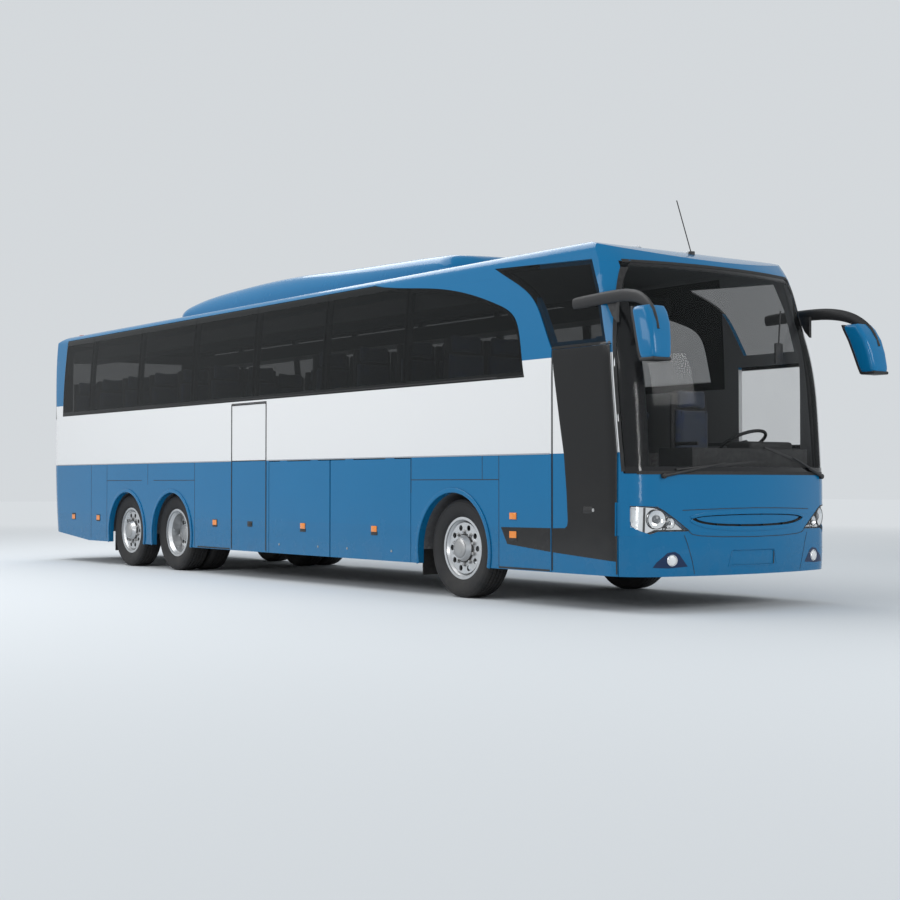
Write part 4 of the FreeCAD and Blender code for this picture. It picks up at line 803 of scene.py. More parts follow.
def tyreShape():
    obj = vertexRun([(r, y, 0.0) for r, y in tyreSection()])
    bpy.ops.mesh.edge_face_add()
    bpy.ops.mesh.delete(type="ONLY_FACE")
    spinRound(obj, tyre["turns"], 0.0003)
    return obj


def placeCopy(master, place):  # a copy with its place in its mesh
    twin = copyOf(master)
    pick(twin)
    twin.location = place
    freeze(twin)
    return twin


def markTread(obj, centres):  # the turn round the axle and a mask of the tread, for the fine cuts across it
    mesh = obj.data
    turn = mesh.attributes.new("turn", "FLOAT", "CORNER")
    tread = mesh.attributes.new("tread", "FLOAT", "POINT")
    for vertex in mesh.vertices:
        x, _, z = vertex.co
        outer = math.hypot(x - centres, z - coach["axleHeight"]) > tyre["treadFrom"]
        tread.data[vertex.index].value = 1.0 if outer else 0.0
    for polygon in mesh.polygons:
        x, _, z = polygon.center
        middle = math.atan2(z - coach["axleHeight"], x - centres)
        for loop in polygon.loop_indices:
            x, _, z = mesh.vertices[mesh.loops[loop].vertex_index].co
            angle = math.atan2(z - coach["axleHeight"], x - centres) - middle
            turn.data[loop].value = middle + (angle + math.pi) % math.tau - math.pi


def tyreFinish():
    finish = Finish("tyreRubber", (0.017, 0.017, 0.018), roughness=0.7, specular=0.35)
    tree = finish.tree
    turn = tree.nodes.new("ShaderNodeAttribute")
    turn.attribute_name = "turn"
    tread = tree.nodes.new("ShaderNodeAttribute")
    tread.attribute_name = "tread"
    wave = mathNode(tree, "SINE", mathNode(tree, "ADD", mathNode(tree, "MULTIPLY", turn.outputs["Fac"], 76.0),
                                           mathNode(tree, "MULTIPLY", finish.across, 55.0)))
    # the fine cuts across the tread are painted darker than the rubber, as painted shade in them, and are
    # pressed in by the bump as well
    shadedCuts = mathNode(tree, "MULTIPLY", rangeNode(tree, wave, 0.72, 0.9), tread.outputs["Fac"])
    finish.over(shadedCuts, (0.004, 0.004, 0.004))
    noise = finish.group("grain", Scale=260, Spread=0.3)
    finish.roughen(noise["Variation"], 0.4)
    dust = finish.group("dust", Top=0.95, Amount=0.30)["Mask"]
    finish.over(dust, (0.085, 0.078, 0.07))
    relief = mathNode(tree, "SUBTRACT", mathNode(tree, "MULTIPLY", noise["Height"], 0.12), shadedCuts)
    finish.bump(relief, 0.6, 0.004)
    return finish.done()


def buildTyres():
    master = tyreShape()
    looks["roadTyre"] = tyreFinish()
    for hand, name in hands.items():
        for axle, offsets in tyre["offsets"].items():
            x = coach[axle + "Axle"]
            more = "s" if len(offsets) > 1 else ""
            places = [(x, hand * offset, coach["axleHeight"]) for offset in offsets]
            piece = joinAll([placeCopy(master, place) for place in places])
            markTread(piece, x)
            body = f"{axle}_{name.lower()}_wheel{more}"
            finishPiece(piece, f"{axle}RoadTyre{more}{name}", "roadTyre", body, 50)
            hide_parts(f"{axle}_tyre{more}_{name.lower()}")
    bpy.data.objects.remove(master)


buildTyres()
print("tyres built")


# wheel fittings: nuts, hub rings and caps

wheel = {
    "nuts": 10,
    "nutCircle": 0.160,
    "nutRadius": 0.0165,
    "nutHeight": 0.026,
    "washerThick": 0.006,
    "capRadius": 0.098,
    "capDepth": 0.022,
    "capLine": ((0.35, 0.97), (0.6, 0.85), (0.62, 0.72), (0.84, 0.6), (0.97, 0.3), (1.0, 0.0)),
    "collarLine": ((0.1415, 0.001), (0.1415, 0.008), (0.133, 0.018), (0.129, 0.018), (0.129, 0.001),
                   (0.1415, 0.001)),
    "faces": {"front": (1.148, 1.208), "tag": (1.148, 1.208), "drive": (0.990, 1.050)},
}


def hexNut():
    nut = puck((0, 0, 0), wheel["nutRadius"], wheel["nutHeight"], 6)
    bevelAll(nut, 0.003)
    thick = wheel["washerThick"]
    washer = puck((0, (thick - wheel["nutHeight"]) / 2, 0), wheel["nutRadius"] * 1.35, thick, 20)
    return joinAll([nut, washer], "nut")


def wheelFittings(discY, hubY):  # seen from outside, +Y is the outer side
    nuts = []
    first = hexNut()
    for index in range(wheel["nuts"]):
        angle = math.tau * (index + 0.5) / wheel["nuts"]
        along, up = wheel["nutCircle"] * math.cos(angle), wheel["nutCircle"] * math.sin(angle)
        nuts.append(placeCopy(first, (along, discY + wheel["nutHeight"] / 2, up)))
    bpy.data.objects.remove(first)
    radius = wheel["capRadius"]
    dome = [(radius * out, hubY + wheel["capDepth"] * up) for out, up in wheel["capLine"]]
    dome = [(0.0001, hubY + wheel["capDepth"])] + dome + [(radius, hubY - 0.006), (0.0001, hubY - 0.006)]
    cap = turnedRing(dome, "cap")
    bright = joinAll(nuts + [cap], "brightFittings")
    collar = turnedRing([(out, discY + up) for out, up in wheel["collarLine"]], "collar")
    return bright, collar


def buildWheelFittings():
    for axle, (discY, hubY) in wheel["faces"].items():
        bright, collar = wheelFittings(discY, hubY)
        for hand, name in hands.items():
            body = f"{axle}_{name.lower()}_wheel" + ("s" if axle == "drive" else "")
            for master, label, look, slot in ((bright, "NutsAndCap", "steel", "wheel_steel"),
                                              (collar, "HubCollar", "plastic", "black_plastic")):
                piece = placeCopy(master, (coach[axle + "Axle"], 0, coach["axleHeight"]))
                if hand < 0:
                    piece = turnRound(piece, coach[axle + "Axle"])
                finishPiece(piece, f"{axle}{label}{name}", look, body, 40)
        bpy.data.objects.remove(bright)
        bpy.data.objects.remove(collar)


def turnRound(obj, x):  # half a turn about the upright line through an axle's middle
    editAll(obj, lambda: bpy.ops.transform.rotate(value=math.pi, orient_axis="Z", center_override=(x, 0, 0)))
    return obj


buildWheelFittings()
print("wheel fittings built")


# trim on both sides: seams, belt line, handles, markers, arches

sides = {
    "seamWidth": 0.007,
    "uprights": ((-8.579, 0.36, 1.381), (-8.053, 0.36, 1.381), (-6.774, 1.10, 1.381), (-5.445, 0.33, 1.381),
                 (0.444, 1.15, 1.381), (-0.733, 1.02, 1.381), (0.700, 0.33, 1.381)),
    "levels": ((-8.053, -6.95, 1.155), (-6.60, -5.445, 1.155), (-0.733, 0.700, 1.150)),
    "beltLine": 1.3815,
    "belt": {-1: ((-9.80, -4.52), (-3.63, 1.44)), 1: ((-9.80, 1.35),)},
    "footLine": 0.331,
    "foot": ((-5.36, -4.53), (0.70, 1.44)),
    "flapMiddle": {"rear": -2.935, "front": -1.502},
}


def levelRun(runs, z, width, hand, thickness):  # level lines on a side wall
    return joinAll([sideStrip(ahead(x1), z, ahead(x2), z, width, hand, thickness) for x1, x2 in runs], "run")


def buildSeams():
    for hand, name in hands.items():
        seams = []
        for x, low, high in sides["uprights"]:
            seams.append(sideStrip(ahead(x), low, ahead(x), high, sides["seamWidth"], hand))
        for x1, x2, z in sides["levels"]:
            seams.append(sideStrip(ahead(x1), z, ahead(x2), z, sides["seamWidth"], hand))
        finishPiece(joinAll(seams), f"panelSeams{name}", "seal", "coach", 0)
        piece = levelRun(sides["belt"][hand], sides["beltLine"], 0.012, hand, 0.005)
        finishPiece(piece, f"beltMoulding{name}", "beltGrey", "coach", 0)
        piece = levelRun(sides["foot"], sides["footLine"], 0.016, hand, 0.004)
        finishPiece(piece, f"skirtFoot{name}", "seal", "coach", 0)


beltGrey = Finish("beltGrey", (0.30, 0.32, 0.35), roughness=0.45)
beltGrey.uneven(300, 0.3, 0.6)
beltGrey.dusty(1.6, 0.4)
beltGrey.bump(beltGrey.group("grain", Scale=500)["Height"], 0.1, 0.0006)
looks["beltGrey"] = beltGrey.done()
buildSeams()
print("seams built")


arch = {
    "centreHeight": 0.455,
    "rings": ((3.567, 0.568), (-2.489, 0.540), (-3.829, 0.540)),
    "width": 0.046,
    "proud": 0.016,
    "foot": 0.318,
}


def archTrim(x, radius, hand, turns=40):  # a rounded flare round one wheel opening
    low = math.asin((arch["foot"] - arch["centreHeight"]) / radius)
    inner, outer = [], []
    for index in range(turns + 1):
        angle = low + (math.pi - 2 * low) * index / turns
        inner.append((x + radius * math.cos(angle), arch["centreHeight"] + radius * math.sin(angle)))
        wide = radius + arch["width"]
        outer.append((x + wide * math.cos(angle), arch["centreHeight"] + wide * math.sin(angle)))
    points = inner + outer[::-1]
    y = hand * 1.2735
    obj = outlineFace([(a, y, b) for a, b in points])
    move = {"value": (0, hand * arch["proud"], 0)}
    editAll(obj, lambda: bpy.ops.mesh.extrude_region_move(TRANSFORM_OT_translate=move), turnFacesOut)
    softEdge(obj, 0.009, 3, 50)
    return obj


def buildArches():
    for hand, name in hands.items():
        trims = [archTrim(x, radius + 0.002, hand) for x, radius in arch["rings"]]
        finishPiece(joinAll(trims), f"archFlares{name}", "paint", "coach", 40)


buildArches()
print("arch flares built")


# black graphic and glass round the entrance door

doorBlack = {
    "curve": ((1.472, 2.314), (1.492, 2.142), (1.545, 1.85), (1.592, 1.60), (1.638, 1.372), (1.672, 1.05),
              (1.689, 0.783), (1.680, 0.735), (1.649, 0.716)),
    "stripTop": 0.712,
    "stripTip": (0.732, 0.706),
    "stripFoot": (0.826, 0.551),
    "doorFootRear": 0.497,
    "doorFootFront": 0.443,
    "front": ((2.317, 0.46), (2.317, 1.375), (2.219, 2.314)),
}


def buildDoorGraphic():
    curve = [(ahead(x), z) for x, z in doorBlack["curve"]]
    rear = ahead(1.470)
    points = list(curve)
    points.append((rear, doorBlack["stripTop"]))
    points.append((rear, doorBlack["doorFootRear"]))
    points.append((ahead(2.317), doorBlack["doorFootFront"]))
    points += [(ahead(x), z) for x, z in doorBlack["front"][1:]]
    sheet = skinPlate(points, 1, -1, 0.003, 0.035, 0.0008)
    finishPiece(sheet, "entranceBlackPanel", "glassBlack", "front_entry_door", 35)
    tip, foot = doorBlack["stripTip"], doorBlack["stripFoot"]
    strip = [(ahead(tip[0]), tip[1]), (ahead(1.450), doorBlack["stripTop"]), (ahead(1.450), 0.498),
             (ahead(foot[0]), foot[1])]
    piece = skinPlate(strip, 1, -1, 0.003, 0.15, 0.0)
    finishPiece(piece, "entranceBlackStrip", "glassBlack", "coach", 35)
    seals = []
    for (x1, z1), (x2, z2) in (((1.476, 0.335), (1.476, 2.312)), ((2.315, 0.335), (2.315, 1.38)),
                               ((2.315, 1.38), (2.219, 2.312))):
        seals.append(sideStrip(ahead(x1), z1, ahead(x2), z2, 0.012, -1, 0.007))
    finishPiece(joinAll(seals), "entranceSeals", "seal", "front_entry_door", 0)
    header = sideStrip(ahead(1.462), 2.331, ahead(2.226), 2.331, 0.024, -1, 0.004, 0.06)
    finishPiece(header, "entranceHeader", "glassBlack", "coach", 35)


def doorHandle(x, z, width, height, side):  # a recessed cup with a bar across it
    y = side * 1.275
    cup = roundedBox((x - width / 2, min(y, y + side * 0.004), z - height / 2),
                     (x + width / 2, max(y, y + side * 0.004), z + height / 2), 0.0015)
    bar = roundedBox((x - width * 0.42, min(y + side * 0.003, y + side * 0.010), z - height * 0.12),
                     (x + width * 0.42, max(y + side * 0.003, y + side * 0.010), z + height * 0.16), 0.002)
    return joinAll([cup, bar], "handle")


def buildHandles():
    piece = doorHandle(ahead(1.958), 0.881, 0.115, 0.060, -1)
    finishPiece(piece, "entranceHandle", "plastic", "front_entry_door", 35)
    piece = doorHandle(ahead(-4.037), 0.637, 0.115, 0.062, -1)
    finishPiece(piece, "midDoorHandle", "plastic", "mid_entry_door", 35)
    lock = puck((ahead(2.03), -1.277, 0.881), 0.016, 0.008, 20)
    finishPiece(lock, "entranceLock", "steel", "front_entry_door", 35)
    for hand, name in hands.items():
        for flap, x in sides["flapMiddle"].items():
            body = f"{flap}_{name.lower()}_flap"
            locks = [puck((ahead(x + spread), hand * 1.2765, 0.42), 0.013, 0.006, 18)
                     for spread in (-0.42, 0.42)]
            piece = joinAll(locks, "locks")
            finishPiece(piece, f"flapLocks{name}{flap.title()}", "steel", body, 35)


def midDoorFrame():
    strips = []
    rear, front = ahead(-4.487), ahead(-3.663)
    for x in (rear, front):
        strips.append(sideStrip(x, 0.335, x, 2.058, 0.018, -1, 0.006))
    strips.append(sideStrip(rear, 2.05, front, 2.05, 0.016, -1, 0.006))
    strips.append(sideStrip(rear, sides["beltLine"], front, sides["beltLine"], 0.010, -1, 0.004))
    finishPiece(joinAll(strips), "midDoorSeals", "seal", "mid_entry_door", 0)


marker = {
    "places": ((-9.179, 0.647), (-8.331, 0.637), (-4.905, 0.632), (0.916, 0.627)),
    "inner": 1.2745,
    "baseOut": 1.279,
    "lensOut": 1.2836,
    "turnOut": 1.2845,
}


def wallBox(middle, low, high, half, out, hand, bevel):  # a box that stands out of a side wall
    y1, y2 = sorted((hand * marker["inner"], hand * out))
    return roundedBox((middle - half, y1, low), (middle + half, y2, high), bevel)


def buildMarkers():  # amber lenses on the flaps, and dark bases below the lenses on the walls
    for hand, name in hands.items():
        bases = [wallBox(ahead(x), z - 0.046, z + 0.046, 0.060, marker["baseOut"], hand, 0.002)
                 for x, z in marker["places"]]
        piece = joinAll(bases, "bases")
        finishPiece(piece, f"markerBases{name}", "plastic", "coach", 35)
        for flap in sides["flapMiddle"]:
            body = f"{flap}_{name.lower()}_flap"
            low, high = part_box(f"flap_{name.lower()}_{flap}")
            middle = (low.x + high.x) / 2 + 0.1
            lens = wallBox(middle, 0.608, 0.672, 0.051, marker["lensOut"], hand, 0.003)
            finishPiece(lens, f"flapMarkerLens{name}{flap.title()}", "amber", body, 35)
            base = wallBox(middle, 0.575, 0.612, 0.060, marker["baseOut"], hand, 0.002)
            finishPiece(base, f"flapMarkerBase{name}{flap.title()}", "plastic", body, 35)
    lens = wallBox(ahead(0.916), 0.781, 0.843, 0.05, marker["turnOut"], -1, 0.003)
    twin = mirroredSide(lens)
    finishPiece(joinAll([lens, twin]), "sideTurnLamps", "amber", "coach", 35)


buildDoorGraphic()
buildHandles()
midDoorFrame()
buildMarkers()
print("doors, handles and markers built")


# black line below the side glass

glassLine = {
    "low": 2.094,
    "rear": -9.575,
    "front": 1.065,
}


def buildGlassLine():
    for hand, name in hands.items():
        strip = sideStrip(ahead(glassLine["rear"]), glassLine["low"] + 0.012, ahead(glassLine["front"]),
                          glassLine["low"] + 0.012, 0.024, hand, 0.003, 0.5)
        finishPiece(strip, f"glassFootLine{name}", "seal", "coach", 0)


buildGlassLine()


# front: seams, headlamps, fog lamps, grille blade, windscreen edge

def hitSkin(y, z):  # where a line along the coach meets its front
    return hit(probe, (8.0, y, z), (-1, 0, 0))


def frontLine(points, width, thickness=0.003, lift=0.0, target=None):  # a thin line on the front
    upper, lower = [], []
    for index, (y, z) in enumerate(points):
        before = Vector(points[max(0, index - 1)])
        after = Vector(points[min(len(points) - 1, index + 1)])
        way = (after - before).normalized()
        side = Vector((-way.y, way.x)) * width / 2
        upper.append((y + side.x, z + side.y))
        lower.append((y - side.x, z - side.y))
    return skinPlate(upper + lower[::-1], 0, 1, thickness, 0.05, lift, target)


front = {
    "panelTop": ((-0.80, 0.883), (-0.6, 0.889), (-0.3, 0.896), (0, 0.899), (0.3, 0.896), (0.6, 0.889),
                 (0.80, 0.883)),
    "panelFoot": ((-0.735, 0.700), (-0.70, 0.676), (-0.62, 0.662), (-0.4, 0.651), (0, 0.645), (0.4, 0.651),
                  (0.62, 0.662), (0.70, 0.676), (0.735, 0.700)),
    "bumperSeam": ((0.782, 0.668), (0.752, 0.60), (0.705, 0.46), (0.672, 0.335)),
    "plate": ((-0.305, 0.392), (-0.272, 0.522), (-0.262, 0.532), (0.262, 0.532), (0.272, 0.522),
              (0.305, 0.392)),
    "cornerSeam": 0.925,
}


def buildFrontSeams():
    dark = [frontLine(front["panelTop"], 0.006), frontLine(front["panelFoot"], 0.006)]
    for run in (front["bumperSeam"], flipped(front["bumperSeam"], -1)):
        dark.append(frontLine(run, 0.005))
    z = front["cornerSeam"]
    for hand in (-1, 1):
        dark.append(sideStrip(ahead(2.356), z, ahead(2.41), z, 0.006, hand))
    finishPiece(joinAll(dark), "frontPanelSeams", "seal", "coach", 0)
    edge = frontLine(front["plate"], 0.010, 0.006)
    foot = frontLine(((-0.305, 0.394), (0.0, 0.392), (0.305, 0.394)), 0.010, 0.006)
    finishPiece(joinAll([edge, foot]), "plateFrame", "paint", "coach", 30)


lamp = {
    "outline": ((0.735, 0.708), (0.88, 0.812), (0.99, 0.885), (1.04, 0.904), (1.15, 0.914), (1.245, 0.916),
                (1.245, 0.72), (1.20, 0.695), (1.108, 0.684), (1.03, 0.712), (0.88, 0.710)),
    "depth": -0.046,
    "bowls": ((1.040, 0.806, 0.080), (0.918, 0.772, 0.046)),
    "fins": (((1.128, 0.906), (1.116, 0.906), (1.122, 0.690), (1.134, 0.690)),
             ((0.958, 0.862), (0.950, 0.856), (0.944, 0.716), (0.955, 0.716))),
    "cheek": ((1.285, 0.950), (1.243, 0.950), (1.240, 0.86), (1.232, 0.79), (1.212, 0.742), (1.165, 0.708),
              (1.095, 0.678), (1.090, 0.664), (1.285, 0.664)),
    "cheekSide": ((2.353, 0.705), (2.353, 0.945), (2.432, 0.945), (2.432, 0.665)),
    "bowlDepth": 0.031,
    "bowl": ((0.0, -0.004), (0.45, -0.004), (0.5, 0.004), (0.82, 0.010), (0.95, 0.021), (1.0, 0.022),
             (1.0, 0.018), (0.9, 0.006), (0.55, -0.012), (0.0, -0.012)),
    "ball": ((0.0, 0.016), (0.2, 0.0145), (0.36, 0.009), (0.42, 0.001), (0.42, -0.004), (0.0, -0.004)),
    "ring": ((0.97, 0.012), (1.04, 0.012), (1.05, 0.024), (0.99, 0.026), (0.97, 0.022), (0.97, 0.012)),
    "turnLens": ((1.170, 0.903), (1.232, 0.908), (1.226, 0.80), (1.190, 0.775)),
}


def lampBowl(y, z, radius, hand):  # a turned reflector and the lens in its middle, square to the lamp's glass
    spot, normal = hitSkin(hand * y, z)
    bowl = turnedRing(lamp["bowl"], "bowl", 36, radius)
    ball = turnedRing(lamp["ball"], "ball", 28, radius)
    ring = turnedRing(lamp["ring"], "ring", 36, radius)
    for piece in (bowl, ball, ring):
        standOn(piece, (0, 1, 0), normal, spot - normal * lamp["bowlDepth"])
    return bowl, ball, ring


def buildHeadlamps():
    for hand, name in hands.items():
        outline = flipped(lamp["outline"], hand)
        back = skinPlate(outline, 0, 1, 0.004, 0.05, lamp["depth"])
        finishPiece(back, f"headlampReflector{name}", "chrome", "coach", 30)
        bowls, balls, rings = [], [], []
        for y, z, radius in lamp["bowls"]:
            for store, piece in zip((bowls, balls, rings), lampBowl(y, z, radius, hand)):
                store.append(piece)
        finishPiece(joinAll(bowls), f"headlampBowls{name}", "chrome", "coach", 40)
        piece = joinAll(balls, "balls")
        finishPiece(piece, f"headlampProjectors{name}", "projector", "coach", 50)
        finishPiece(joinAll(rings), f"headlampRings{name}", "plastic", "coach", 40)
        trim = frontLine(outline + outline[:1], 0.007, 0.004)
        finishPiece(trim, f"headlampSeal{name}", "seal", "coach", 0)
        fins = [skinPlate(flipped(fin, hand), 0, 1, 0.004, 0.05, -0.022) for fin in lamp["fins"]]
        finishPiece(joinAll(fins), f"headlampFins{name}", "plastic", "coach", 30)
        cheek = skinPlate(flipped(lamp["cheek"], hand), 0, 1, 0.004, 0.02, 0.0005)
        side = skinPlate([(ahead(x), z) for x, z in lamp["cheekSide"]], 1, hand, 0.004, 0.02, 0.0005)
        cheek = joinAll([cheek, side], "cheek")
        finishPiece(cheek, f"headlampCheek{name}", "bluePaint", "coach", 40)
        turn = skinPlate(flipped(lamp["turnLens"], hand), 0, 1, 0.003, 0.05, lamp["depth"] + 0.012)
        finishPiece(turn, f"headlampTurnLens{name}", "whiteLens", "coach", 30)


fog = {
    "recess": ((0.745, 0.400), (0.83, 0.505), (0.875, 0.528), (0.945, 0.520), (1.045, 0.440), (1.075, 0.395),
               (0.93, 0.388)),
    "place": (0.900, 0.455),
    "radius": 0.047,
    "lens": ((0.0, 0.013), (0.5, 0.011), (0.85, 0.006), (0.9, 0.0), (0.0, 0.0)),
    "ring": ((0.9, 0.0), (0.92, 0.009), (1.0, 0.011), (1.1, 0.006), (1.12, 0.0), (0.9, 0.0)),
}


def buildFogLamps():
    for hand, name in hands.items():
        outline = flipped(fog["recess"], hand)
        # a dark blue sheet laid on the skin round the fog lamp, painted shade that stands for the shade
        # inside the lamp's recess
        recess = skinPlate(outline, 0, 1, 0.003, 0.06)
        finishPiece(recess, f"fogRecessShade{name}", "paintedRecessShade", "coach", 30)
        spot, normal = hitSkin(hand * fog["place"][0], fog["place"][1])
        lens = turnedRing(fog["lens"], "lens", 36, fog["radius"])
        ring = turnedRing(fog["ring"], "ring", 36, fog["radius"])
        for piece, label, look in ((lens, "fogLens", "whiteLens"), (ring, "fogBezel", "chrome")):
            standOn(piece, (0, 1, 0), normal, spot)
            finishPiece(piece, f"{label}{name}", look, "coach", 40)


grille = {
    "blade": ((-0.655, 0.812), (-0.58, 0.824), (-0.45, 0.831), (-0.2, 0.837), (0.0, 0.838), (0.2, 0.837),
              (0.45, 0.831), (0.58, 0.824), (0.655, 0.812), (0.62, 0.795), (0.55, 0.780), (0.45, 0.768),
              (0.3, 0.760), (0.15, 0.756), (0.0, 0.755), (-0.15, 0.756), (-0.3, 0.760), (-0.45, 0.768),
              (-0.55, 0.780), (-0.62, 0.795)),
    "eyeTop": ((-0.706, 0.809), (-0.64, 0.823), (-0.54, 0.834), (-0.30, 0.843), (0.0, 0.846), (0.30, 0.843),
               (0.54, 0.834), (0.64, 0.823), (0.706, 0.809)),
    "eyeFoot": ((-0.706, 0.807), (-0.675, 0.790), (-0.60, 0.768), (-0.46, 0.750), (-0.25, 0.741),
                (0.0, 0.738), (0.25, 0.741), (0.46, 0.750), (0.60, 0.768), (0.675, 0.790), (0.706, 0.807)),
    "lip": 0.040,
    "back": ((-0.716, 0.8117), (-0.574, 0.848), (0.574, 0.848), (0.716, 0.8117), (0.574, 0.737),
             (-0.574, 0.737)),
}


def buildGrille():
    whole = frontSheetProbe()
    back = skinPlate(grille["back"], 0, 1, 0.006, 0.10, -0.040, whole)
    finishPiece(back, "grilleDepth", "plastic", "coach", 30)
    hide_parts("grille")
    blade = skinPlate(grille["blade"], 0, 1, 0.014, 0.06, -0.014, whole)
    softEdge(blade, 0.005, 3, 55)
    finishPiece(blade, "grilleBlade", "paint", "coach", 30)
    lips = []
    for run, way in ((grille["eyeTop"], 1), (grille["eyeFoot"], -1)):
        inner = [(p.x, p.y) for p in curvePoints([(a, b, 0) for a, b in run], 3)]
        outer = [(y * 1.03, z + way * grille["lip"] * (1 - 0.55 * abs(y / 0.706) ** 3)) for y, z in inner]
        lips.append(skinPlate(inner + outer[::-1], 0, 1, 0.010, 0.05, 0.0, whole))
    surround = joinAll(lips, "grilleLip")
    softEdge(surround, 0.003, 2, 60)
    finishPiece(surround, "grilleSurround", "bluePaint", "coach", 40)
    stays = []
    for y in (-0.42, -0.14, 0.14, 0.42):
        spot, _ = hit(whole, (8.0, y, 0.795), (-1, 0, 0))
        rear, near = spot.x - 0.040, spot.x - 0.018
        stays.append(roundedBox((rear, y - 0.006, 0.740), (near, y + 0.006, 0.846), 0.001))
    finishPiece(joinAll(stays), "grilleStays", "plastic", "coach", 30)
    bpy.data.objects.remove(whole)


def frontSheetProbe():  # the front as one closed sheet across the grille's opening
    heights = [0.66, 0.70, 0.86, 0.90]
    across = [index * 0.06 - 0.78 for index in range(27)]
    bpy.ops.mesh.primitive_grid_add(x_subdivisions=len(across) - 1, y_subdivisions=len(heights) - 1, size=1)
    sheet = bpy.context.object
    rows = {}
    for vertex in sheet.data.vertices:
        column = round((vertex.co.x + 0.5) * (len(across) - 1))
        row = round((vertex.co.y + 0.5) * (len(heights) - 1))
        rows[vertex.index] = (across[column], heights[row])
    for index, (y, z) in rows.items():
        spot, _ = hitSkin(y, z)
        sheet.data.vertices[index].co = spot
    return sheet


def buildScreenEdge():
    strips = []
    for hand in (-1, 1):
        strips.append(sideStrip(ahead(2.376), 1.215, ahead(2.192), 3.00, 0.028, hand, 0.006, 0.06))
    top = [(-1.06 + index * 0.106, 3.063) for index in range(21)]
    strips.append(frontLine(top, 0.026, 0.006))
    foot = [(-1.18 + index * 0.118, 1.205) for index in range(21)]
    strips.append(frontLine(foot, 0.030, 0.006))
    finishPiece(joinAll(strips), "windscreenRubber", "seal", "coach", 30)


def plainBlue():
    finish = blueBase("plainBluePaint")
    finish.uneven(60, 0.12, 1.0)
    finish.bump(finish.group("grain", Scale=420)["Height"], 0.05, 0.0006)
    return finish.done()


looks["bluePaint"] = plainBlue()
projector = Finish("projectorGlass", (0.10, 0.11, 0.12), roughness=0.04, coat=0.8)
projector.uneven(60, 0.1, 0.3)
projector.bump(projector.group("grain", Scale=30)["Height"], 0.03, 0.0006)
looks["projector"] = projector.done()
# dark blue for the fog lamps' recesses, a painted shade, with a little road dust on it
deep = Finish("paintedRecessShade", (0.003, 0.02, 0.07), roughness=0.35, specular=0.3)
deep.dusty(0.8, 0.1)
deep.bump(deep.group("grain", Scale=420)["Height"], 0.05, 0.0006)
looks["paintedRecessShade"] = deep.done()

buildFrontSeams()
buildHeadlamps()
buildFogLamps()
buildGrille()
buildScreenEdge()
print("front built")


# outside mirrors, wipers, roof

def sweptBar(points, wide, tall, radii=None, resolution=6, sides=3):  # a rounded bar along a smooth path
    bpy.ops.curve.primitive_bezier_circle_add(radius=0.5)
    section = bpy.context.object
    section.scale = (wide, tall, 1)
    section.data.resolution_u = sides
    bpy.ops.curve.primitive_nurbs_path_add()
    path = bpy.context.object
    data = path.data
    data.splines.clear()
    line = data.splines.new("NURBS")
    line.points.add(len(points) - 1)
    for index, point in enumerate(points):
        line.points[index].co = (*point, 1)
        line.points[index].radius = radii[index] if radii else 1
    line.order_u = 3
    line.use_endpoint_u = True
    line.resolution_u = resolution
    data.dimensions = "3D"
    data.twist_mode = "Z_UP"
    data.bevel_mode = "OBJECT"
    data.bevel_object = section
    data.use_fill_caps = True
    path.location = (0, 0, 0)
    pick(path)
    bpy.ops.object.convert(target="MESH")
    bar = bpy.context.object
    bpy.data.objects.remove(section)
    outward(bar)
    return bar


mirrorArm = {
    "path": ((5.335, 1.243, 2.705), (5.36, 1.243, 2.707), (5.60, 1.252, 2.716), (5.88, 1.270, 2.722),
             (6.09, 1.292, 2.715), (6.28, 1.330, 2.675), (6.42, 1.366, 2.595), (6.51, 1.388, 2.49),
             (6.555, 1.400, 2.375)),
    "radii": (0.90, 1.0, 1.0, 1.0, 1.0, 0.95, 0.86, 0.74, 0.6),
    "thick": 0.052,
    "tall": 0.108,
}

mirrorHead = {
    "levels": ((2.125, 6.528, 1.392, 0.165, 0.215), (2.20, 6.513, 1.386, 0.185, 0.232),
               (2.32, 6.486, 1.374, 0.200, 0.248), (2.44, 6.452, 1.358, 0.205, 0.258),
               (2.54, 6.405, 1.340, 0.192, 0.262), (2.59, 6.375, 1.330, 0.165, 0.255)),
    "bevel": 0.045,
}


def loftLevels(levels, bevel, name):  # stacked rectangles: height, middle x and y, depth and width
    bpy.ops.mesh.primitive_plane_add(size=1, location=(0, 0, 0))
    obj = bpy.context.object
    height, x, y, depth, width = levels[0]
    bpy.ops.object.mode_set(mode="EDIT")
    bpy.ops.mesh.select_all(action="SELECT")
    bpy.ops.transform.resize(value=(depth, width, 1))
    bpy.ops.transform.translate(value=(x, y, height))
    before = levels[0]
    for level in levels[1:]:
        bpy.ops.mesh.extrude_region_move(TRANSFORM_OT_translate={
            "value": (level[1] - before[1], level[2] - before[2], level[0] - before[0])})
        bpy.ops.transform.resize(value=(level[3] / before[3], level[4] / before[4], 1),
                                 center_override=(level[1], level[2], level[0]))
        before = level
    editAll(obj, turnFacesOut)
    softEdge(obj, bevel, 5, 50)
    obj.name = name
    return obj


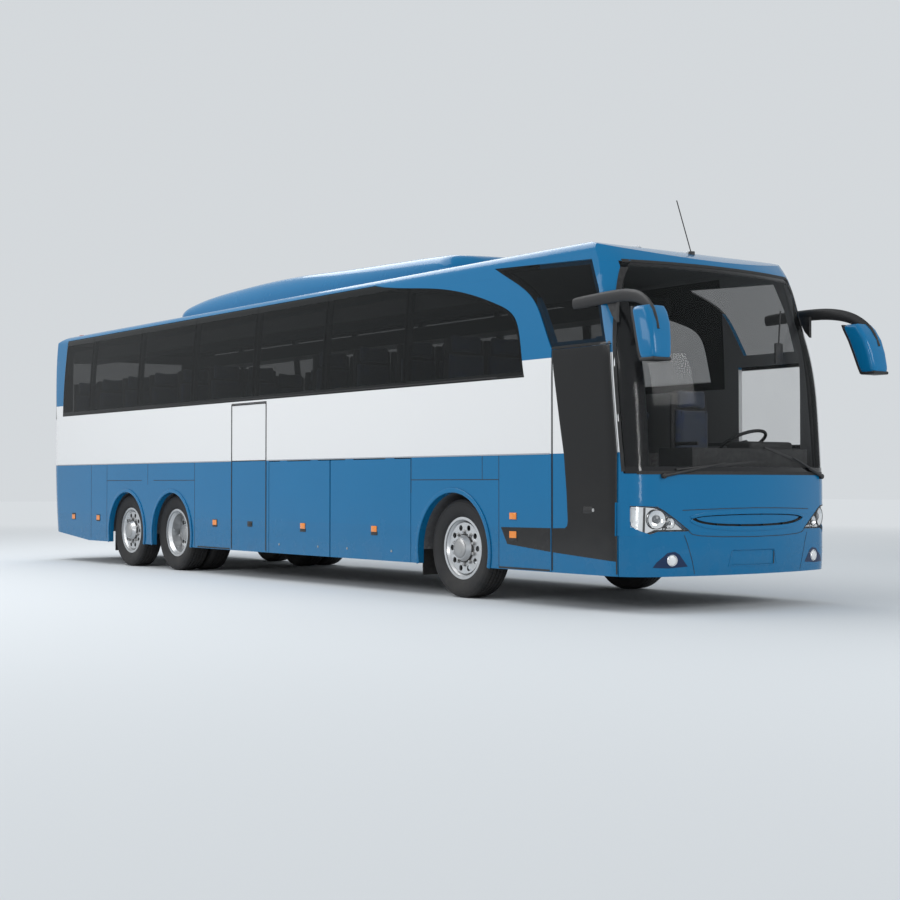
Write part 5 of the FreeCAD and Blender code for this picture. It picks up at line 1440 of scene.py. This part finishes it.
def buildMirrors():
    shell = loftLevels(mirrorHead["levels"], mirrorHead["bevel"], "mirrorShell")
    back = [(z, x - depth * 0.47, y, 0.030, width * 0.93) for z, x, y, depth, width in mirrorHead["levels"]]
    trim = loftLevels(back, 0.008, "mirrorTrim")
    foot = mirrorHead["levels"][0]
    cap = roundedBox((foot[1] - 0.085, foot[2] - 0.105, 2.1205), (foot[1] + 0.080, foot[2] + 0.105, 2.150),
                     0.012, 3)
    trim = joinAll([trim, cap], "mirrorTrim")
    inner = [(z + 0.012 * way, x - depth * 0.47 - 0.0165, y, 0.003, width * 0.80)
             for (z, x, y, depth, width), way in zip(mirrorHead["levels"][1:-1], (1, 1, -1, -1))]
    glass = loftLevels(inner, 0.001, "mirrorGlass")
    arm = sweptBar(mirrorArm["path"], mirrorArm["thick"], mirrorArm["tall"], mirrorArm["radii"])
    wedge = outlineFace([(5.90, 1.235, 2.70), (5.90, 1.235, 2.50), (5.84, 1.235, 2.56), (5.76, 1.235, 2.70)])
    thicken(wedge, 0.03, 0)
    arm = joinAll([arm, wedge], "mirrorArm")
    for master, label, look, slot in ((shell, "mirrorShell", "bluePaint", "body_paint"),
                                      (trim, "mirrorTrim", "plastic", "black_plastic"),
                                      (glass, "mirrorGlass", "mirror", "clear_glass"),
                                      (arm, "mirrorArm", "plastic", "black_plastic")):
        twin = mirroredSide(master)
        for piece, side in ((master, "Left"), (twin, "Right")):
            finishPiece(piece, label + side, look, "coach", 40)
            if label == "mirrorShell" and side == "Left":
                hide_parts("mirrors")


buildMirrors()
print("mirrors built")


wiper = {
    "right": {"pivot": (-0.985, 1.178), "knee": (-0.62, 1.245), "hand": (-0.36, 1.292),
              "blade": ((-0.86, 1.232), (0.02, 1.305))},
    "left": {"pivot": (1.035, 1.178), "knee": (0.78, 1.262), "hand": (0.52, 1.345),
             "blade": ((0.86, 1.250), (0.14, 1.432))},
}


def onScreen(y, z, away):
    spot, normal = hitSkin(y, z)
    return spot + normal * away


def bladeRun(part, away):  # five places along the blade
    (y1, z1), (y2, z2) = part["blade"]
    shares = (0.0, 0.25, 0.5, 0.75, 1.0)
    return [onScreen(y1 + (y2 - y1) * share, z1 + (z2 - z1) * share, away) for share in shares]


def buildWipers():
    made = []
    for part in wiper.values():
        pivot = onScreen(*part["pivot"], 0.016)
        arm = [onScreen(*part[place], away)
               for place, away in (("pivot", 0.022), ("knee", 0.034), ("hand", 0.032))]
        made.append(sweptBar(arm, 0.020, 0.020, (1.5, 1.0, 0.7), 8, 2))
        made.append(sweptBar(bladeRun(part, 0.014), 0.012, 0.024, (0.6, 1.0, 1.2, 1.0, 0.6), 6, 2))
        made.append(sweptBar(bladeRun(part, 0.003), 0.006, 0.010, None, 6, 2))
        boss = puck(pivot, 0.024, 0.034, 24, (0, math.pi / 2, 0))
        bevelAll(boss, 0.005)
        made.append(boss)
    piece = finishPiece(joinAll(made), "wiperArmsAndBlades", "plastic", "coach", 35)
    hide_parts("wipers")


buildWipers()
print("wipers built")


roof = {
    "podFront": -0.425,
    "podRear": -6.740,
    "podHalf": 0.925,
    "podBase": 3.345,
    "podRise": 0.246,
    "podLine": ((0.0, 0.10), (0.010, 0.42), (0.035, 0.55), (0.10, 0.64), (0.22, 0.72), (0.36, 0.82),
                (0.49, 0.95), (0.60, 0.985), (0.72, 0.93), (0.86, 0.78), (0.95, 0.50), (1.0, 0.12)),
    "podColumns": 40,
    "podCrown": 0.035,
    "taper": 0.30,
    "shoulder": 0.16,
    "gap": 0.013,
}


def hitRoof(x, y):
    return hit(probe, (x, y, 6.0), (0, 0, -1))


def podSheet(inset, foot):  # a crowned sheet over the roof, its edge a step above the skin
    line = [(p.x, p.y) for p in curvePoints([(a, b, 0) for a, b in roof["podLine"]], 5)]
    bpy.ops.mesh.primitive_grid_add(x_subdivisions=len(line) - 1, y_subdivisions=roof["podColumns"], size=1)
    sheet = bpy.context.object
    length = roof["podFront"] - roof["podRear"]
    for vertex in sheet.data.vertices:
        share, rise = line[round((vertex.co.x + 0.5) * (len(line) - 1))]
        end = min(share, 1 - share) * length
        half = roof["podHalf"] - inset - roof["taper"] * max(0.0, 1 - end / roof["taper"]) ** 2
        across = math.sin(vertex.co.y * math.pi)
        y = half * across
        x = ahead(roof["podFront"]) - inset - share * (length - 2 * inset)
        skin, _ = hitRoof(x, y)
        away = (half - abs(y)) / roof["shoulder"]
        bend = math.sqrt(1 - max(0.0, 1 - away) ** 2)
        crest = roof["podBase"] + roof["podRise"] * rise - roof["podCrown"] * across ** 2 - inset
        vertex.co = (x, y, skin.z + foot + max(0.002, crest - skin.z - foot) * bend)
    thicken(sheet, 0.006, -1)
    outward(sheet)
    return sheet


def buildPod():
    # the pod in blue paint, then a black plastic sheet inset below it that shows through the gap under the
    # pod's edge as a painted shadow
    for inset, foot, name, look, slot in ((0.0, roof["gap"], "airConditioningPod", "bluePaint", "body_paint"),
                                          (0.016, -0.004, "podFootPaintedShadow", "plastic", "black_plastic")):
        piece = finishPiece(podSheet(inset, foot), name, look, "coach", 60)
        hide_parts("roof_pod")


def buildRoofLamps():  # clear marker lamps over the windscreen and red ones at the tail
    for label, look, slot, places in (
        ("roofMarkersFront", "whiteLens", "lamp_clear", ((ahead(1.548), -0.312), (ahead(1.548), 0.312),
                                                         (ahead(1.50), -0.93), (ahead(1.50), 0.93))),
        ("roofMarkersRear", "red", "lamp_red", ((-6.03, -0.98), (-6.03, 0.98))),
    ):
        lamps, feet = [], []
        for x, y in places:
            spot, normal = hitRoof(x, y)
            for size, lift, store in (((0.085, 0.036, 0.018), 0.010, lamps),
                                      ((0.10, 0.048, 0.008), 0.002, feet)):
                box = roundedBox([-side / 2 for side in size], [side / 2 for side in size], 0.003, 2)
                standOn(box, (0, 0, 1), normal, spot + normal * lift)
                store.append(box)
        finishPiece(joinAll(lamps), label, look, "coach", 35)
        finishPiece(joinAll(feet), label + "Feet", "plastic", "coach", 35)


buildPod()
buildRoofLamps()
print("roof built")


# seats: crowned cushions with piping, head rests, arm rests and legs

seat = {
    "pitch": 0.83,
    "rows": 12,
    "first": -0.25,
    "width": 0.98,
    "innerY": 0.215,
    "floor": 1.430,
    "driverFloor": 0.860,
    "driverStation": 1.53,
    "driverY": 0.64,
    "driverWidth": 0.50,
    "cushionTop": 0.450,
    "cushionDepth": 0.460,
    "cushionThick": 0.130,
    "backTop": 1.180,
    "backThick": 0.110,
    "swell": 0.013,
    "well": (-4.487 - 0.46, -3.663 + 0.11),
}


def sewnPads(boxes):  # closed forms blown up a little by a cloth run, each point kept near its start
    pads = []
    for low, high in boxes:
        pad = roundedBox(low, high, 0.024, 3)
        remesh = pad.modifiers.new("remesh", "REMESH")
        remesh.mode = "VOXEL"
        remesh.voxel_size = 0.021
        applyModifiers(pad)
        cloth = pad.modifiers.new("cloth", "CLOTH")
        cloth.settings.use_pressure = True
        cloth.settings.uniform_pressure_force = 4
        cloth.settings.effector_weights.gravity = 0
        pads.append((pad, [vertex.co.copy() for vertex in pad.data.vertices]))
    for frameNumber in range(1, 21):
        scene.frame_set(frameNumber)
    for pad, start in pads:
        applyModifiers(pad)
        for vertex, before in zip(pad.data.vertices, start):
            way = vertex.co - before
            if way.length > seat["swell"]:
                vertex.co = before + way.normalized() * seat["swell"]
    scene.frame_set(1)
    return [pad for pad, _ in pads]


def pipe(points, radius):  # piping along a seam
    return joinAll([rod(a, b, radius, 6) for a, b in zip(points, points[1:])], "pipe")


def padMasters():  # cushion, back and head rest of one place, its middle on y 0
    half = seat["width"] / 4 - 0.016
    low, top = seat["cushionTop"] - seat["cushionThick"], seat["cushionTop"]
    depth, thick = seat["cushionDepth"], seat["backThick"]
    return sewnPads((
        ((0.052, -half, low + 0.035), (depth - 0.014, half, top - 0.018)),
        ((-0.012, -half, top - 0.02), (thick / 2 - 0.016, half, seat["backTop"] - 0.20)),
        ((-0.018, -half + 0.05, seat["backTop"] - 0.195),
         (thick / 2 - 0.016, half - 0.05, seat["backTop"] - 0.016)),
    ))


def seatFrame(width, places):  # shells, legs, arm rests and piping of one seat, facing forward
    plain, seams = [], []
    each = width / places
    low, top = seat["cushionTop"] - seat["cushionThick"], seat["cushionTop"]
    depth, thick = seat["cushionDepth"], seat["backThick"]
    for index in range(places):
        middle = -width / 2 + each * (index + 0.5)
        half = each / 2 - 0.008
        plain.append(roundedBox((-thick / 2 + 0.002, middle - half, top - 0.06), (-0.006, middle + half,
                                seat["backTop"] - 0.05), 0.022, 3))
        for side in (-1, 1):
            y = middle + side * (half - 0.075)
            seams.append(pipe(((0.07, y, top - 0.007), (depth - 0.02, y, top - 0.010)), 0.004))
            x = thick / 2 - 0.009
            seams.append(pipe(((x, y, top + 0.03), (x, y, seat["backTop"] - 0.22)), 0.004))
        near, far = middle - half + 0.09, middle + half - 0.09
        seams.append(pipe(((0.25, near, top - 0.005), (0.25, far, top - 0.005)), 0.004))
    for y in (-width / 2 + 0.008, width / 2 - 0.034):
        plain.append(roundedBox((0.02, y, top + 0.17), (0.33, y + 0.026, top + 0.205), 0.010, 2))
    plain.append(roundedBox((0.03, -width / 2 + 0.03, low - 0.035),
                            (depth - 0.05, width / 2 - 0.03, low + 0.04), 0.008, 2))
    plain.append(roundedBox((depth / 2 - 0.04, -0.035, 0.004), (depth / 2 + 0.04, 0.035, low), 0.008, 2))
    plain.append(roundedBox((depth / 2 - 0.16, -0.044, 0.002), (depth / 2 + 0.16, 0.044, 0.022), 0.006, 2))
    return joinAll(plain, "plain"), joinAll(seams, "seams")


def seatPlaces():  # where each seat stands, and whether it is the driver's
    places = []
    for row in range(seat["rows"]):
        x = seat["first"] - row * seat["pitch"]
        for hand in (-1, 1):
            if hand < 0 and seat["well"][0] < x < seat["well"][1]:
                continue
            spot = Vector((ahead(x), hand * (seat["innerY"] + seat["width"] / 2), seat["floor"]))
            places.append((spot, False))
    x = ahead(seat["driverStation"]) - seat["cushionDepth"] / 2
    driver = Vector((x, seat["driverY"], seat["driverFloor"]))
    return places + [(driver, True)]


def buildSeats():
    pads = padMasters()
    pairFrame = seatFrame(seat["width"], 2)
    singleFrame = seatFrame(seat["driverWidth"], 1)
    padKinds, frameKinds = ([], [], []), ([], [])
    for spot, single in seatPlaces():
        for store, master in zip(frameKinds, singleFrame if single else pairFrame):
            store.append(placeCopy(master, spot))
        for side in (0,) if single else (-1, 1):
            for store, master in zip(padKinds, pads):
                store.append(placeCopy(master, spot + Vector((0, side * seat["width"] / 4, 0))))
    for master in [*pads, *pairFrame, *singleFrame]:
        bpy.data.objects.remove(master)
    for kind, label in zip(padKinds, ("seatCushions", "seatBackPads", "headRests")):
        piece = finishPiece(joinAll(kind), label, "cloth", "coach", 60)
        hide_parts("seats")
    for kind, label, look in zip(frameKinds, ("seatShells", "seatPiping"), ("trim", "seal")):
        piece = finishPiece(joinAll(kind), label, look, "coach", 40)
        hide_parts("seats")


buildSeats()
print("seats built")


# tail: lamp lenses, plate, louvres, reflectors and exhaust, and what stands behind the windscreen

tail = {
    "lampY": 1.022,
    "lenses": ((1.405, 0.048, "amber", "lamp_amber"), (1.270, 0.050, "red", "lamp_red"),
               (1.135, 0.048, "whiteLens", "lamp_clear")),
    "lensRise": 0.009,
    "lensLine": ((0.0, 1.0), (0.30, 0.95), (0.34, 0.6), (0.68, 0.5), (0.72, 0.85), (0.90, 0.7), (1.0, 0.2)),
    "plate": (0.27, 0.93, 1.05),
    "louvreHalf": 0.56,
    "louvreFrom": 1.16,
    "louvreStep": 0.045,
    "louvres": 9,
    "reflector": (0.86, 0.98, 0.60, 0.645),
    "exhaust": (0.72, 0.355, 0.052),
}


def tailLens(y, z, radius):  # a shallow turned lens square to the tail's skin
    spot, normal = hit(cadNodes["tail_lamps"], (-8.0, y, z), (1, 0, 0))
    outline = [(out, tail["lensRise"] * up) for out, up in tail["lensLine"]] + [(1.0, -0.003), (0.0, -0.003)]
    lens = turnedRing(outline, "lens", 40, radius)
    standOn(lens, (0, 1, 0), normal, spot)
    return lens


def buildTail():
    for z, radius, look, slot in tail["lenses"]:
        lenses = [tailLens(hand * tail["lampY"], z, radius) for hand in (-1, 1)]
        finishPiece(joinAll(lenses), f"tail{look.title()}Lenses", look, "coach", 40)
    half, low, high = tail["plate"]
    plate = skinPlate(rectangle(-half, half, low, high), 0, -1, 0.003, 0.12, 0.001)
    finishPiece(plate, "rearPlateBlank", "whiteLens", "rear_lid", 30)
    half = tail["louvreHalf"]
    slats = []
    for index in range(tail["louvres"]):
        low = tail["louvreFrom"] + index * tail["louvreStep"]
        high = low + 0.016
        slats.append(skinPlate(rectangle(-half, half, low, high), 0, -1, 0.002, 0.14, 0.0004))
    finishPiece(joinAll(slats), "engineLidLouvres", "plastic", "rear_lid", 30)
    near, far, low, high = tail["reflector"]
    strips = [skinPlate(rectangle(hand * near, hand * far, low, high), 0, -1, 0.004, 0.05, 0.001)
              for hand in (-1, 1)]
    finishPiece(joinAll(strips), "rearReflectors", "red", "coach", 30)
    y, z, radius = tail["exhaust"]
    outline = [(radius, -0.16), (radius, 0.16), (radius * 0.9, 0.16), (radius * 0.9, -0.16), (radius, -0.16)]
    pipeEnd = turnedRing(outline, "pipe", 28)
    pipeEnd.rotation_euler = (0, 0, math.radians(90))
    pipeEnd.location = (-6.22, y, z)
    freeze(pipeEnd)
    finishPiece(pipeEnd, "exhaustPipe", "steel", "coach", 40)


def buildDriverPlace():  # a hood over the dials and a mirror by the left pillar
    _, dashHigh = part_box("dashboard")
    wheelLow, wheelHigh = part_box("steering_wheel")
    hood = roundedBox((dashHigh.x - 0.42, wheelLow.y - 0.05, dashHigh.z - 0.03),
                      (dashHigh.x - 0.10, wheelHigh.y + 0.05, dashHigh.z + 0.07), 0.035, 3)
    glass = roundedBox((5.92, 0.70, 2.22), (5.95, 0.80, 2.42), 0.012, 2)
    stalk = rod((5.935, 0.75, 2.40), (5.96, 0.75, 2.72), 0.008)
    piece = joinAll([hood, glass, stalk], "driver")
    finishPiece(piece, "driverHoodAndMirror", "trim", "coach", 35)


buildTail()
buildDriverPlace()
print("tail and driver's place built")


# floor, background, light and camera

studio = {
    "floorSize": 160.0,
    "pale": (0.66, 0.69, 0.715),
    "skyStrength": 0.74,
    "fadeFrom": 9.0,
    "fadeTo": 26.0,
}

panels = {  # place, aim, size and power
    "skyPanel": ((-6.0, -2.0, 13.0), (-4.0, -0.5, 1.5), (30.0, 8.0), 2000),
    "sidePanel": ((-1.0, -16.0, 7.5), (-0.5, 0.0, 1.2), (18.0, 4.0), 800),
    "frontPanel": ((17.0, 2.0, 6.0), (5.0, 0.0, 1.5), (6.0, 4.0), 560),
    "cornerPanel": ((22.0, -17.0, 4.0), (6.0, -1.0, 1.0), (2.4, 7.0), 520),
}

photoCamera = {  # as solved from the photo, with its shifts in pixels and its angles in degrees
    "lens": 63.39,
    "shift": (0.71, 1.23),
    "place": (15.9797, -10.4697, 1.1099),
    "azimuth": 53.592,
    "elevation": -1.179,
}


def studioFinish():  # far from the coach the floor takes the background's own colour
    finish = Finish("studioFloor", studio["pale"], roughness=0.9, specular=0.1)
    tree = finish.tree
    reach = mathNode(tree, "POWER", mathNode(tree, "ADD", mathNode(tree, "POWER", finish.along, 2.0),
                                             mathNode(tree, "POWER", finish.across, 2.0)), 0.5)
    fade = rangeNode(tree, reach, studio["fadeFrom"], studio["fadeTo"])
    finish.over(fade, (0.0, 0.0, 0.0))
    finish.set("Emission Color", (*studio["pale"], 1))
    finish.set("Emission Strength", fade)
    finish.roughen(noiseNode(tree, finish.place, 0.4, 2), 0.05)
    return finish.done()


def buildStudio():
    deselectAll()
    bpy.ops.mesh.primitive_plane_add(size=studio["floorSize"], location=(0, 0, 0))
    floor = bpy.context.object
    floor.name = "studioFloor"
    floor.data.materials.append(studioFinish())
    world = bpy.data.worlds.new("paleRoom")
    scene.world = world
    world.use_nodes = True
    tree = world.node_tree
    backdrop = tree.nodes["Background"]
    backdrop.inputs["Color"].default_value = (*studio["pale"], 1)
    rays = tree.nodes.new("ShaderNodeLightPath")
    seen = mathNode(tree, "MAXIMUM", rays.outputs["Is Camera Ray"], rays.outputs["Is Transmission Ray"])
    seen = mathNode(tree, "MAXIMUM", seen, rays.outputs["Is Glossy Ray"])
    strength = rangeNode(tree, seen, 0.0, 1.0, studio["skyStrength"], 1.0)
    tree.links.new(strength, backdrop.inputs["Strength"])


def softLight(name, place, aim, size, power):
    light = bpy.data.lights.new(name, "AREA")
    light.shape = "RECTANGLE"
    light.size, light.size_y = size
    light.energy = power
    lamp = bpy.data.objects.new(name, light)
    scene.collection.objects.link(lamp)
    lamp.location = place
    lamp.rotation_euler = (Vector(aim) - Vector(place)).to_track_quat("-Z", "Y").to_euler()
    return lamp


def buildCamera():
    camera = bpy.data.cameras.new("photoCamera")
    camera.sensor_width = 36
    camera.lens = photoCamera["lens"]
    camera.shift_x, camera.shift_y = [shift / 900 for shift in photoCamera["shift"]]
    camera.clip_end = 200
    view = bpy.data.objects.new("photoCamera", camera)
    scene.collection.objects.link(view)
    azimuth, elevation = math.radians(photoCamera["azimuth"]), math.radians(photoCamera["elevation"])
    level = math.cos(elevation)
    back = Vector((math.sin(azimuth) * level, -math.cos(azimuth) * level, math.sin(elevation)))
    view.location = photoCamera["place"]
    view.rotation_euler = back.to_track_quat("Z", "Y").to_euler()
    scene.camera = view


buildStudio()
for label, values in panels.items():
    softLight(label, *values)
buildCamera()
print("studio and camera set")

bpy.data.objects.remove(probe)
